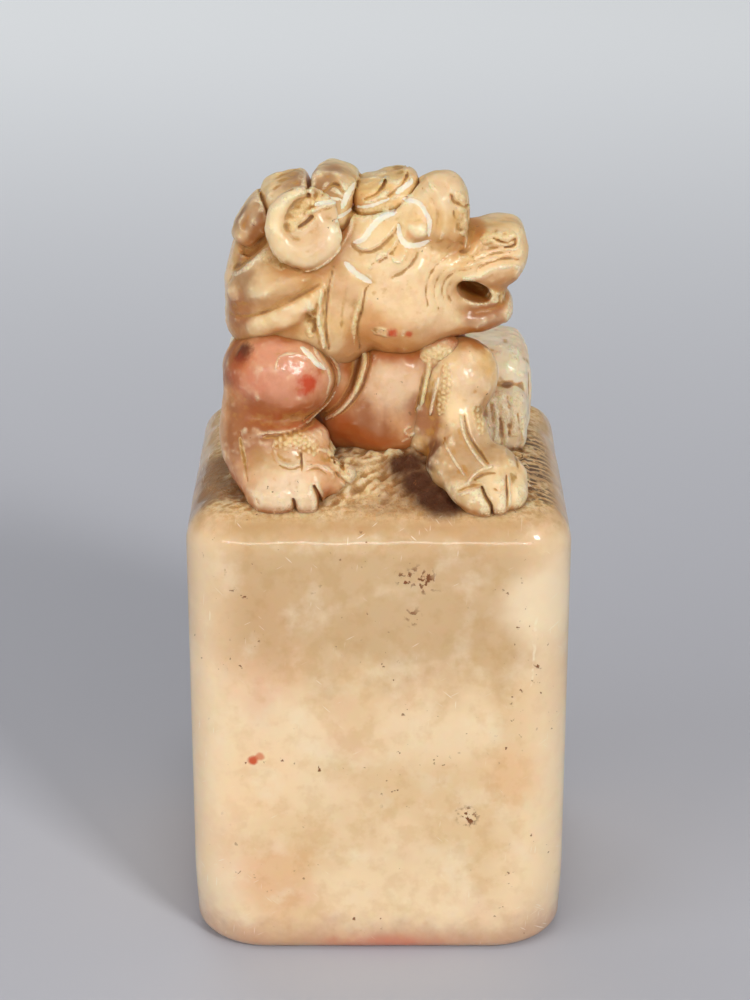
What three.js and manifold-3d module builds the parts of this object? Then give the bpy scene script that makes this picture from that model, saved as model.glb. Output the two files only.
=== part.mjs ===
// A square seal stone whose knob is a crouching lion, carved from one stick of soft stone.
// Millimetres, +Z up. The origin is the centre of the flat seal face that the stone stands on.
// The lion crouches with its chest to -Y and its head turned to +X, so the head's right side faces -Y.
import * as THREE from "three";
import { mergeVertices } from "three/addons/utils/BufferGeometryUtils.js";
import Module from "manifold-3d";

const wasm = await Module();
wasm.setup();

// The block: a square stick with polished edges and lower corners worn round.
const BLOCK_WIDTH = 25;
const BLOCK_HEIGHT = 31.8;
const EDGE_RADIUS = 3;
const TOP_EDGE_RADIUS = 2.7;
const SEAL_EDGE_RADIUS = 1;
const CORNER_WEAR = 2;
const CORNER_WEAR_HEIGHT = 6;

// The parting between neighbouring carved masses, and how closely a cut keeps to its cutter.
const PARTING = 0.3;
const CUT_TOLERANCE = 0.02;

// How finely the forms are cut into faces.
const EGG_SIDES = 8;
const EGG_SIDES_PER_MM = 1.1;
const STRAND_SIDES = 8;
const STRAND_STEPS = 8;
const LOFT_SIDES = 15;
const ARC_STEPS = 4;

// Every mass of the lion has a half length along X, a half width along Y and a half rise along Z. A corner
// above 2 makes it boxier than an egg. Heights are above the carved ground.

// The head: where its skull's middle is, the skull, and the mane that stands behind and below it.
const HEAD = { x: 0.3, y: -2.2, height: 14.2 };
const SKULL = { length: 5.8, width: 4.5, rise: 5.2, corner: 2 };
const MANE = { behind: 4.8, drop: 1.2, length: 4.7, width: 4.8, rise: 5.5, corner: 2.8 };

// Features on the skull or mane. Along and up are shares of the mass's half length and half rise, from its
// middle, and lift is how far a feature's middle stands off the surface there.
const EYE = { along: 0.47, up: 0.47, lift: -0.35, radius: 0.95 };
const CHEEK = { along: 0.14, up: -0.56, lift: -1.45, length: 3.9, width: 2.5, rise: 3.05 };
const BROW = { along: 0.69, aside: 0.38, lift: 1, length: 1.7, width: 1.8, rise: 1.95 };
const LEFT_BROW_DROP = 1.2;
const EAR = { along: -0.07, up: 0.72, lift: 0.4, radius: 1.85, thin: 0.62, thick: 1.15, depth: 0.85 };
const EAR_CURL = { from: 65, to: 352, closing: 0.35, lean: 18 };
const BROW_FLAME = { width: 1, depth: 0.7, lift: 0.1 };
const BROW_FLAME_PATH = [[0.53, 0.72], [0.12, 0.6], [-0.21, 0.45], [-0.4, 0.26]];
const MANE_LOCK = { depth: 0.85, lift: 0.15 };
const MANE_LOCKS = [
  { width: 1.35, path: [[0.34, 0.22], [-0.02, -0.04], [-0.45, -0.33], [-0.81, -0.49], [-0.93, -0.53]] },
  { width: 1.1, path: [[0.02, 0.31], [-0.36, 0.15], [-0.7, -0.04], [-0.96, -0.13]] },
  { width: 1, path: [[-0.51, 0.65], [-0.74, 0.49], [-0.89, 0.34], [-0.97, 0.16]] },
];
const NAPE_LOCK = { width: 1.2, depth: 0.8, asides: [-0.52, 0, 0.52], ups: [0.71, 0.25, -0.22, -0.62] };
const RUFF = { width: 1, depth: 0.8, lift: 0.3 };
const RUFF_PATH = [[0.34, 0.34], [0.38, 0], [0.47, -0.36], [0.55, -0.65]];
const SKULL_CURLS = [
  { along: 0.07, lift: -0.1, length: 2, width: 2.4, rise: 1.05, lean: -4 },
  { along: -0.52, lift: 0.85, length: 1.55, width: 2.5, rise: 1.25, lean: 8 },
];
const MANE_CURLS = [
  { along: -0.21, lift: 0.45, length: 1.7, width: 2.3, rise: 1.25, lean: 22 },
  { along: -0.7, lift: -0.45, length: 1.5, width: 2, rise: 1.1, lean: 55 },
];

// The muzzle and jaw, in sections measured out from the skull's front and up from its middle.
const MUZZLE = [
  { out: -2.5, up: 0.8, width: 3.8, rise: 2.1 },
  { out: -0.5, up: 0.75, width: 3.3, rise: 1.6 },
  { out: 1.3, up: 0.6, width: 2.8, rise: 1.35 },
  { out: 2.8, up: 0.5, width: 2.1, rise: 1.15 },
];
const MUZZLE_REACH = 3.4;
const JAW = [
  { out: -2.7, up: -3.3, width: 3.7, rise: 1.7 },
  { out: -0.7, up: -3.3, width: 3.2, rise: 1.3 },
  { out: 1.1, up: -2.7, width: 2.6, rise: 1.2 },
  { out: 2.2, up: -2.25, width: 1.8, rise: 0.95 },
];
const JAW_REACH = 2.8;
const LIP = { from: -1.1, to: 2.75, up: -0.55, aside: 3.2, radius: 0.85 };
const NOSE = { out: 2.1, up: 2, length: 1.45, width: 2.3, rise: 1.25 };
const NOSTRIL = { ahead: 0.7, sunk: 0.2, radius: 0.45, depth: 0.9 };
const MOUTH = { out: 0.15, up: -1.65, length: 1.2, rise: 0.75, corner: 4 };

// The torso, in sections from the chest to the rump. Those under the head reach up into it.
const NECK_RISE = 4.2;
const TORSO = [
  { y: -5.75, x: 0.8, width: 1.9, low: 2.6, high: 7.6 },
  { y: -5.1, x: 0.8, width: 2.9, low: 1.6, high: 8.6 },
  { y: -3.2, x: 0.6, width: 4.4, low: 0, high: HEAD.height - NECK_RISE },
  { y: 0, x: 0.2, width: 5.9, low: 0, high: HEAD.height - NECK_RISE + 1 },
  { y: 4, x: 0, width: 6.4, low: 0, high: 9.6 },
  { y: 7.6, x: 0, width: 5.7, low: 0, high: 8.3 },
  { y: 10, x: 0, width: 3.4, low: 0, high: 6.2 },
];
const CHEST_FRONT = -6.05;
const RUMP_BACK = 10.9;

// Straps that frame the chest, and a tuft of hair under the chin: places and heights from top to bottom.
const CHEST_STRAP = { width: 0.55, depth: 0.55 };
const RIGHT_STRAP_PATH = [
  [-1.7, -6.6, 8.6],
  [-1.7, -6.6, 7.3],
  [-2.2, -6.5, 5.6],
  [-3.6, -6.4, 4],
  [-4.4, -6.2, 3.3],
];
const LEFT_STRAP_PATH = [
  [3.9, -5.6, 8],
  [3.8, -6, 7],
  [3.3, -6.1, 5.6],
  [2.7, -5.9, 3.4],
  [2.5, -5.8, 2.4],
];
const CHIN_DROP = 5.5;
const CHIN_TUFT = { x: 4.4, y: -5.4, height: HEAD.height - CHIN_DROP, length: 1.5, width: 0.9, rise: 0.8 };

// The limbs. A foreleg runs from its shoulder over the knee to its palm, and toes and tuft go with the palm.
const RIGHT_SHOULDER = { x: -6.4, y: -5, height: 7.3, length: 3.8, width: 3.7, rise: 3.3 };
const RIGHT_LEG = { radius: 2.05, knee: [-8.7, -6.9, 3.2] };
const RIGHT_PALM = { x: -6.2, y: -8.2, height: 1.5, length: 2.6, width: 2.4, rise: 1.75 };
const RIGHT_TOES = [[-1.15, -1.5], [0.95, -1.7], [2.7, -0.9]];
const RIGHT_TUFT = { x: 1, y: 0.1, height: 2.7, length: 1.5, width: 0.9, rise: 0.9 };
const LEFT_SHOULDER = { x: 5.5, y: -4.7, height: 7.1, length: 2.1, width: 2.6, rise: 2.7 };
const LEFT_LEG = { radius: 1.75, knee: [5.5, -6.2, 4.2] };
const LEFT_PALM = { x: 6.6, y: -8.2, height: 1.45, length: 2.3, width: 2.4, rise: 1.65 };
const LEFT_TOES = [[-1, -1.6], [0.8, -1.8], [2.3, -0.8]];
const LEFT_TUFT = { x: 0.6, y: 1.9, height: 2.45, length: 0.7, width: 0.8, rise: 1.5 };
const TOE = { height: 0.85, length: 1.05, width: 1.35, rise: 1.05 };
const HAUNCH = { aside: 7.4, y: 5, height: 3.1, length: 3, width: 4.2, rise: 3.1, corner: 3.2 };
const HIND_PAW = { aside: 8.8, y: 0.3, height: 1.7, length: 1.6, width: 1.9, rise: 2 };
const HIND_TOE = { aside: 0.85, height: 0.75, length: 0.75, width: 1, rise: 0.8 };

// The tail: locks that lie on the rump. Each path gives places across, behind the rump's end, and heights.
const TAIL_LOCK = { depth: 0.95 };
const TAIL_LOCKS = [
  { width: 1.5, path: [[0, 0.2, 1.2], [0, 0.4, 4], [0, -0.6, 7], [0, -2.2, 9.2]] },
  { width: 1.15, path: [[0.8, 0.3, 1.1], [2.3, 0, 3.4], [3.4, -1, 5.8], [4.3, -2.4, 7.6]] },
  { width: 1.15, path: [[-0.8, 0.3, 1.1], [-2.3, 0, 3.4], [-3.4, -1, 5.8], [-4.3, -2.4, 7.6]] },
];
const MOUND = { x: 0.7, y: -6.2, height: 0, length: 4.2, width: 5.2, rise: 1.5 };

const CREAM = new THREE.MeshStandardMaterial({ color: 0xe9cfa4, roughness: 0.35, metalness: 0 });
const HONEY = new THREE.MeshStandardMaterial({ color: 0xdcb78a, roughness: 0.38, metalness: 0 });
const ROSE = new THREE.MeshStandardMaterial({ color: 0xd39a7a, roughness: 0.35, metalness: 0 });
const PALE = new THREE.MeshStandardMaterial({ color: 0xf0dfc2, roughness: 0.4, metalness: 0 });

const UP = new THREE.Vector3(0, 0, 1);
const FORWARD = new THREE.Vector3(0, -1, 0);
const SIDES = [
  { name: "right", side: 1 },
  { name: "left", side: -1 },
];
const radians = THREE.MathUtils.degToRad;
const { lerp } = THREE.MathUtils;

// A point in the stone's frame from a place and a height above the carved ground.
const above = (x, y, height) => new THREE.Vector3(x, y, BLOCK_HEIGHT + height);
const place = ({ x, y, height }) => above(x, y, height);

// The solid that a closed surface holds, turned to face outwards.
function solidOf(geometry) {
  geometry.deleteAttribute("normal");
  geometry.deleteAttribute("uv");
  const merged = mergeVertices(geometry);
  const vertProperties = new Float32Array(merged.attributes.position.array);
  const triVerts = new Uint32Array(merged.index.array);
  const solid = new wasm.Manifold(new wasm.Mesh({ numProp: 3, vertProperties, triVerts }));
  if (solid.volume() > 0) return solid;
  return new wasm.Manifold(new wasm.Mesh({ numProp: 3, vertProperties, triVerts: triVerts.reverse() }));
}

// A skin over rings that hold as many points each, closed by one point at either end.
function skin(start, rings, end) {
  const sides = rings[0].length;
  const points = [start, ...rings.flat(), end];
  const at = (ring, i) => 1 + ring * sides + (i % sides);
  const last = rings.length - 1;
  const faces = [];
  for (let i = 0; i < sides; i++) {
    faces.push(0, at(0, i + 1), at(0, i));
    faces.push(points.length - 1, at(last, i), at(last, i + 1));
    for (let ring = 0; ring < last; ring++) {
      faces.push(at(ring, i), at(ring, i + 1), at(ring + 1, i + 1));
      faces.push(at(ring, i), at(ring + 1, i + 1), at(ring + 1, i));
    }
  }
  return solidOf(new THREE.BufferGeometry().setFromPoints(points).setIndex(faces));
}

// An ellipse of points about a centre, from its two half axes.
function ellipse(centre, across, out, sides) {
  return Array.from({ length: sides }, (_, i) => {
    const angle = (2 * Math.PI * i) / sides;
    return centre.clone().addScaledVector(across, Math.cos(angle)).addScaledVector(out, Math.sin(angle));
  });
}

// Every form below is a function of how far it is grown, so that it can also cut its own seat, with a
// parting, into a neighbour.

// An egg: a ball with three half sizes, made boxier by its corner and tipped about Y by its lean.
function egg(centre, { length, width, rise, corner = 2, lean = 0 }) {
  return (grow) => {
    const sides = Math.round(EGG_SIDES + EGG_SIDES_PER_MM * Math.max(length, width, rise));
    const ball = new THREE.SphereGeometry(1, sides, Math.round(0.7 * sides)).rotateX(Math.PI / 2);
    const points = ball.attributes.position;
    for (let i = 0; i < points.count; i++) {
      const v = new THREE.Vector3().fromBufferAttribute(points, i);
      const reach = v.toArray().reduce((sum, c) => sum + Math.abs(c) ** corner, 0) ** (1 / corner);
      points.setXYZ(i, ...v.divideScalar(reach).toArray());
    }
    ball.scale(length + grow, width + grow, rise + grow);
    ball.rotateY(-radians(lean)).translate(...centre.toArray());
    return solidOf(ball);
  };
}

// A strand: a rounded section carried along a curve. Its half width runs from width to tip, both ends
// are round, and outward gives the way that its depth faces at each point.
function strand(points, outward, { width, tip = width, depth, steps = STRAND_STEPS }) {
  return (grow) => {
    const curve = new THREE.CatmullRomCurve3(points);
    const rings = [];
    for (let i = 1; i < steps; i++) {
      const along = (1 - Math.cos((Math.PI * i) / steps)) / 2;
      const swell = Math.sqrt(1 - (2 * along - 1) ** 4);
      const centre = curve.getPointAt(along);
      const tangent = curve.getTangentAt(along);
      const out = outward(centre).clone();
      out.addScaledVector(tangent, -out.dot(tangent)).normalize();
      const across = new THREE.Vector3().crossVectors(tangent, out);
      across.multiplyScalar(lerp(width, tip, along) * swell + grow);
      out.multiplyScalar(depth * swell + grow);
      rings.push(ellipse(centre, across, out, STRAND_SIDES));
    }
    const start = curve.getPointAt(0).addScaledVector(curve.getTangentAt(0), -grow);
    const end = curve.getPointAt(1).addScaledVector(curve.getTangentAt(1), grow);
    return skin(start, rings, end);
  };
}

// A loft: ellipses one behind the other, each a centre with its half sizes across and up.
function loft(start, sections, end, across) {
  return (grow) => {
    const rings = sections.map(({ centre, width, rise }) => {
      const wide = across.clone().multiplyScalar(width + grow);
      return ellipse(centre, wide, UP.clone().multiplyScalar(rise + grow), LOFT_SIDES);
    });
    const along = end.clone().sub(start).normalize();
    return skin(start.clone().addScaledVector(along, -grow), rings, end.clone().addScaledVector(along, grow));
  };
}

const joined = (...forms) => (grow) => forms.map((form) => form(grow)).reduce((all, one) => all.add(one));
const hollowed = (form, ...cutters) => (grow) =>
  cutters.reduce((solid, cutter) => solid.subtract(cutter(0)), form(grow));

// The block: rounded squares stacked up, drawn in by the edge radii at the seal face and at the top.
function block(grow) {
  const half = BLOCK_WIDTH / 2 + grow;
  const levels = [];
  for (let i = 0; i <= ARC_STEPS; i++) {
    const turn = (Math.PI / 2) * (i / ARC_STEPS);
    const z = SEAL_EDGE_RADIUS * (1 - Math.cos(turn));
    levels.push({ inset: SEAL_EDGE_RADIUS * (1 - Math.sin(turn)), z });
  }
  for (let i = 1; i < ARC_STEPS; i++)
    levels.push({ inset: 0, z: lerp(SEAL_EDGE_RADIUS, CORNER_WEAR_HEIGHT, i / (ARC_STEPS - 1)) });
  for (let i = 0; i <= ARC_STEPS; i++) {
    const turn = (Math.PI / 2) * (i / ARC_STEPS);
    const z = BLOCK_HEIGHT - TOP_EDGE_RADIUS * (1 - Math.sin(turn)) + grow;
    levels.push({ inset: TOP_EDGE_RADIUS * (1 - Math.cos(turn)), z });
  }
  const rings = levels.map(({ inset, z }) => {
    const wear = CORNER_WEAR * (1 - THREE.MathUtils.smoothstep(z, 0, CORNER_WEAR_HEIGHT));
    const radius = Math.max(EDGE_RADIUS + wear + grow - inset, EDGE_RADIUS / ARC_STEPS);
    return roundedSquare(half - inset, radius, z);
  });
  const middle = (ring) => new THREE.Vector3(0, 0, ring[0].z);
  return skin(middle(rings[0]), rings, middle(rings.at(-1)));
}

function roundedSquare(half, radius, z) {
  const corners = [[1, 1], [-1, 1], [-1, -1], [1, -1]];
  return corners.flatMap(([signX, signY], corner) =>
    Array.from({ length: ARC_STEPS + 1 }, (_, i) => {
      const turn = (Math.PI / 2) * (corner + i / ARC_STEPS);
      const centre = new THREE.Vector3(signX * (half - radius), signY * (half - radius), z);
      return centre.add(new THREE.Vector3(radius * Math.cos(turn), radius * Math.sin(turn), 0));
    }),
  );
}

const skull = { ...SKULL, centre: place(HEAD) };
const mane = { ...MANE, centre: above(HEAD.x - MANE.behind, HEAD.y, HEAD.height - MANE.drop) };
const fromMane = (point) => point.clone().sub(mane.centre);
const fromSkull = (point) => point.clone().sub(skull.centre);

// How far out a mass of unit half sizes still reaches, once two of its three ways out are used to a share.
const remaining = (corner, a, b) =>
  Math.max(1 - Math.abs(a) ** corner - Math.abs(b) ** corner, 0) ** (1 / corner);

// A point on the side of a mass of the head. Side is 1 on the head's right, which faces -Y, and -1 on its
// left.
function onSide({ centre, length, width, rise, corner }, along, up, lift, side) {
  const out = width * remaining(corner, along, up) + lift;
  return new THREE.Vector3(along * length, -side * out, up * rise).add(centre);
}

// A point on top of a mass of the head, aside of its midline.
function onTop({ centre, length, width, rise, corner }, along, aside, lift) {
  const high = rise * remaining(corner, along, aside) + lift;
  return new THREE.Vector3(along * length, aside * width, high).add(centre);
}

// A point behind a mass of the head.
function onBack({ centre, length, width, rise, corner }, aside, up) {
  return new THREE.Vector3(-length * remaining(corner, aside, up), aside * width, up * rise).add(centre);
}

// A point ahead of the skull, on the midline.
const ahead = ({ out, up }) => new THREE.Vector3(SKULL.length + out, 0, up).add(skull.centre);

const stone = new THREE.Group();
const lion = new THREE.Group();
lion.position.z = BLOCK_HEIGHT;
const head = new THREE.Group();
head.position.set(HEAD.x, HEAD.y, HEAD.height);
stone.add(lion);
lion.add(head);
stone.updateMatrixWorld(true);
const carved = [];

// Adds a named mass to its group, cut back by a parting from every mass carved before it. Chips that a
// cut leaves loose fall away.
function carve(group, name, form, material) {
  const whole = carved.reduce((solid, earlier) => solid.subtract(earlier), form(0));
  const bodies = whole.setTolerance(CUT_TOLERANCE).decompose().sort((a, b) => b.volume() - a.volume());
  const { vertProperties, triVerts } = bodies[0].getMesh();
  const geometry = new THREE.BufferGeometry();
  geometry.setAttribute("position", new THREE.BufferAttribute(vertProperties, 3));
  geometry.setIndex(new THREE.BufferAttribute(triVerts, 1));
  geometry.translate(...group.getWorldPosition(new THREE.Vector3()).negate().toArray());
  geometry.computeVertexNormals();
  const mesh = new THREE.Mesh(geometry, material);
  mesh.name = name;
  group.add(mesh);
  carved.push(form(PARTING));
}

carve(stone, "seal_block", block, CREAM);

// The head: eyeballs first, so that the skull gets their sockets, then what stands on the skull.
for (const { name, side } of SIDES) {
  const { along, up, lift, radius } = EYE;
  const ball = { length: radius, width: radius, rise: radius };
  carve(head, `${name}_eye`, egg(onSide(skull, along, up, lift, side), ball), PALE);
}
const mouthHollow = egg(ahead(MOUTH), { ...MOUTH, width: 2 * SKULL.width });
carve(head, "skull", hollowed(egg(skull.centre, skull), mouthHollow), HONEY);

// A snout: sections along the head's midline, with a point a parting behind the first and one at its reach.
function snout(sections, reach) {
  const rows = sections.map((section) => ({ ...section, centre: ahead(section) }));
  const root = ahead({ ...sections[0], out: sections[0].out - PARTING });
  return loft(root, rows, ahead({ ...sections.at(-1), out: reach }), FORWARD);
}
carve(head, "muzzle", snout(MUZZLE, MUZZLE_REACH), HONEY);

const nostrils = SIDES.map(({ side }) => {
  const hole = { length: NOSTRIL.radius, width: NOSTRIL.depth, rise: NOSTRIL.radius };
  const centre = ahead(NOSE).add(new THREE.Vector3(NOSTRIL.ahead, side * (NOSE.width - NOSTRIL.sunk), 0));
  return egg(centre, hole);
});
carve(head, "nose", hollowed(egg(ahead(NOSE), NOSE), ...nostrils), HONEY);
carve(head, "lower_jaw", hollowed(snout(JAW, JAW_REACH), mouthHollow), ROSE);

// The upper lip: a strand that runs round the muzzle in a bow.
const lipPath = [-1, -0.85, 0, 0.85, 1].map((share) => {
  const out = lerp(LIP.from, LIP.to, 1 - Math.abs(share) ** 3);
  return ahead({ out, up: LIP.up }).addScaledVector(FORWARD, share * LIP.aside);
});
const lip = strand(lipPath, () => UP, { width: LIP.radius, depth: LIP.radius });
carve(head, "upper_lip", hollowed(lip, mouthHollow), HONEY);

for (const { name, side } of SIDES) {
  const cheek = onSide(skull, CHEEK.along, CHEEK.up, CHEEK.lift, side);
  carve(head, `${name}_cheek`, egg(cheek, CHEEK), HONEY);
  const brow = onTop(skull, BROW.along, -side * BROW.aside, BROW.lift);
  if (side < 0) brow.addScaledVector(UP, -LEFT_BROW_DROP);
  carve(head, `${name}_brow`, egg(brow, BROW), HONEY);
}

carve(head, "mane", egg(mane.centre, mane), HONEY);

// An ear: a strand that curls round the ear's hollow and thickens towards its lobe, leaning in at its top.
function ear(side) {
  const centre = onSide(mane, EAR.along, EAR.up, EAR.lift, side);
  const lean = radians(EAR_CURL.lean);
  const rising = new THREE.Vector3(0, side * Math.sin(lean), Math.cos(lean));
  const turns = 7;
  const points = Array.from({ length: turns }, (_, i) => {
    const share = i / (turns - 1);
    const angle = radians(lerp(EAR_CURL.from, EAR_CURL.to, share));
    const radius = EAR.radius * (1 - EAR_CURL.closing * share ** 3);
    const ahead = new THREE.Vector3(radius * Math.cos(angle), 0, 0);
    return ahead.addScaledVector(rising, radius * Math.sin(angle)).add(centre);
  });
  const outward = new THREE.Vector3(1, 0, 0).cross(rising).multiplyScalar(side);
  return strand(points, () => outward, { width: EAR.thin, tip: EAR.thick, depth: EAR.depth, steps: 12 });
}
for (const { name, side } of SIDES) carve(head, `${name}_ear`, ear(side), PALE);

const crest = [
  ...MANE_CURLS.map((curl) => ({ ...curl, mass: mane })).reverse(),
  ...SKULL_CURLS.map((curl) => ({ ...curl, mass: skull })).reverse(),
];
crest.forEach((curl, i) =>
  carve(head, `crest_curl_${i + 1}`, egg(onTop(curl.mass, curl.along, 0, curl.lift), curl), HONEY),
);

// Hair laid on the sides of the head, then on the nape.
for (const { name, side } of SIDES) {
  const flame = BROW_FLAME_PATH.map(([along, up]) => onSide(skull, along, up, BROW_FLAME.lift, side));
  const section = { ...BROW_FLAME, tip: BROW_FLAME.width / 3 };
  carve(head, `${name}_brow_flame`, strand(flame, fromSkull, section), HONEY);
  MANE_LOCKS.forEach(({ path, width }, i) => {
    const points = path.map(([along, up]) => onSide(mane, along, up, MANE_LOCK.lift, side));
    carve(head, `${name}_mane_lock_${i + 1}`, strand(points, fromMane, { ...MANE_LOCK, width }), HONEY);
  });
}
NAPE_LOCK.asides.forEach((aside, i) => {
  const points = NAPE_LOCK.ups.map((up) => onBack(mane, aside, up));
  carve(head, `nape_lock_${i + 1}`, strand(points, fromMane, NAPE_LOCK), HONEY);
});

// The ruff hangs from below the ear, behind the cheek.
for (const { name, side } of SIDES) {
  const points = RUFF_PATH.map(([along, up]) => onSide(mane, along, up, RUFF.lift, side));
  carve(head, `${name}_ruff`, strand(points, fromMane, { ...RUFF, tip: RUFF.width / 2 }), HONEY);
}

// The body: the torso fills in below the head and behind the straps, then limbs stand on it and on the
// ground.
for (const [name, path] of [["right", RIGHT_STRAP_PATH], ["left", LEFT_STRAP_PATH]]) {
  const points = path.map((point) => above(...point));
  carve(lion, `${name}_chest_strap`, strand(points, () => FORWARD, CHEST_STRAP), HONEY);
}
const ribs = TORSO.map(({ x, y, width, low, high }) => ({
  centre: above(x, y, (low + high) / 2),
  width,
  rise: (high - low) / 2,
}));
const chest = ribs[0].centre.clone().setY(CHEST_FRONT);
const rump = ribs.at(-1).centre.clone().setY(RUMP_BACK);
carve(lion, "torso", loft(chest, ribs, rump, new THREE.Vector3(1, 0, 0)), ROSE);
carve(lion, "chin_tuft", egg(place(CHIN_TUFT), CHIN_TUFT), PALE);

function foreLimb(name, shoulder, leg, palm, toes, tuft) {
  carve(lion, `${name}_shoulder`, egg(place(shoulder), shoulder), ROSE);
  const fingers = toes.map(([x, y]) => egg(above(palm.x + x, palm.y + y, TOE.height), TOE));
  carve(lion, `${name}_fore_paw`, joined(egg(place(palm), palm), ...fingers), HONEY);
  const bones = [place(shoulder), above(...leg.knee), place(palm)];
  const section = { width: leg.radius, depth: leg.radius };
  carve(lion, `${name}_foreleg`, strand(bones, () => FORWARD, section), HONEY);
  const root = above(palm.x + tuft.x, palm.y + tuft.y, palm.height + tuft.height);
  carve(lion, `${name}_elbow_tuft`, egg(root, tuft), PALE);
}
foreLimb("right", RIGHT_SHOULDER, RIGHT_LEG, RIGHT_PALM, RIGHT_TOES, RIGHT_TUFT);
foreLimb("left", LEFT_SHOULDER, LEFT_LEG, LEFT_PALM, LEFT_TOES, LEFT_TUFT);

for (const { name, side } of SIDES) {
  const sole = above(-side * HIND_PAW.aside, HIND_PAW.y, HIND_PAW.height);
  const toes = [-1, 1].map((way) =>
    egg(above(sole.x + way * HIND_TOE.aside, HIND_PAW.y - HIND_PAW.width, HIND_TOE.height), HIND_TOE),
  );
  carve(lion, `${name}_hind_paw`, joined(egg(sole, HIND_PAW), ...toes), PALE);
  carve(lion, `${name}_haunch`, egg(above(-side * HAUNCH.aside, HAUNCH.y, HAUNCH.height), HAUNCH), PALE);
}

TAIL_LOCKS.forEach(({ path, width }, i) => {
  const points = path.map(([x, behind, height]) => above(x, RUMP_BACK + behind, height));
  const outward = new THREE.Vector3(0, 1, 0.4);
  const section = { ...TAIL_LOCK, width, tip: width / 2 };
  carve(lion, `tail_lock_${i + 1}`, strand(points, () => outward, section), HONEY);
});

carve(lion, "ground_mound", egg(place(MOUND), MOUND), CREAM);

export default stone;
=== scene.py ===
"""The looks of the seal stone: a polished block with a crouching lion carved from its top."""
import math

import bpy
import numpy as np
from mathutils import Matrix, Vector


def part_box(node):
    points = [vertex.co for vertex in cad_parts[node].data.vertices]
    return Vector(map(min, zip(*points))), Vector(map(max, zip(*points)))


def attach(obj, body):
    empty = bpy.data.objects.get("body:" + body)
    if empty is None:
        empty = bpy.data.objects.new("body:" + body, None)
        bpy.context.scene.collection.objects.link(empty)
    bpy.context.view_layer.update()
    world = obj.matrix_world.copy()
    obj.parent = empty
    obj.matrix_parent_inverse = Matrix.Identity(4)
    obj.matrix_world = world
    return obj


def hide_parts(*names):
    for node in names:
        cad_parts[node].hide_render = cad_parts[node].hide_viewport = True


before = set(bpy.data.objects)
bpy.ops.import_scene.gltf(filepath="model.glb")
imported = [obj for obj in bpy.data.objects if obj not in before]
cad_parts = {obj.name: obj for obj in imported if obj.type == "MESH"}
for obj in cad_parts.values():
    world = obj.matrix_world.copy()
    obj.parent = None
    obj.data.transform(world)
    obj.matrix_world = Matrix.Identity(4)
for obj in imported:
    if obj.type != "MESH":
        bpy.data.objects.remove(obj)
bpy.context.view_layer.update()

import openvdb

# Sizes are in millimetres. Heights on the lion are above the carved ground, the top of the block.
MM = 0.001
BLOCK_LOW, BLOCK_HIGH = (np.array(corner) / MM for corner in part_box("seal_block"))
GROUND = float(BLOCK_HIGH[2])
BLOCK_HALF = float(BLOCK_HIGH[0])
NOSE_LOW, NOSE_HIGH = (np.array(corner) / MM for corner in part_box("nose"))
MIDLINE = float(NOSE_LOW[1] + NOSE_HIGH[1]) / 2

# How finely the lion is cut, and how far from a surface its distance is still worth knowing.
COARSER = 1.0
FAR = 3.0
PATH_POINTS = 22
WHOLE_LOW = np.array([-11.9, -12.7, -1.9])
WHOLE_HIGH = np.array([11.9, 13.2, 22.0])
WHOLE_GRAIN = 0.22 * COARSER
SOLE = -1.3

# The block's rounded edges: the upright ones, the one round the top and the one round the seal face, and how
# much rounder the upright ones are worn towards the foot, over a height.
UPRIGHT_EDGE = 3.0
TOP_EDGE = 2.7
SEAL_EDGE = 1.0
FOOT_WEAR = 2.0
WEAR_HEIGHT = 6.0

# The masses that the head's features are laid on: middle, half length, half width, half rise and corner.
SKULL = ((0.3, MIDLINE, 14.2), (5.8, 4.5, 5.2), 2.0)
MANE = ((-4.65, MIDLINE, 12.4), (4.75, 4.8, 5.3), 2.8)

# White lines on the head, on its side: places along and heights.
WHITE_LINES = [
    (0.22, [(1.5, 18.75), (2.5, 18.72), (3.0, 18.1), (3.22, 17.5), (3.15, 16.6)]),
    (0.25, [(1.25, 17.4), (1.36, 16.63), (1.78, 16.15), (2.61, 16.06), (3.29, 16.34)]),
    (0.26, [(-1.65, 16.2), (-0.98, 16.51), (-0.43, 17.2), (0.26, 17.75), (1.15, 18.02)]),
    (0.28, [(-2.2, 15.1), (-1.39, 14.33), (-0.42, 13.76)]),
    (0.28, [(-2.32, 18.3), (-2.0, 19.1), (-1.55, 19.6)]),
    (0.22, [(1.1, 19.1), (1.6, 19.4), (2.2, 19.75)]),
    (0.14, [(-1.5, 18.15), (-0.4, 18.4), (0.7, 18.8)]),
    (0.16, [(-4.1, 18.85), (-3.3, 18.95), (-2.4, 18.85)]),
    (0.18, [(-2.75, 17.75), (-2.2, 17.9), (-1.6, 18.15)]),
]
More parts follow.
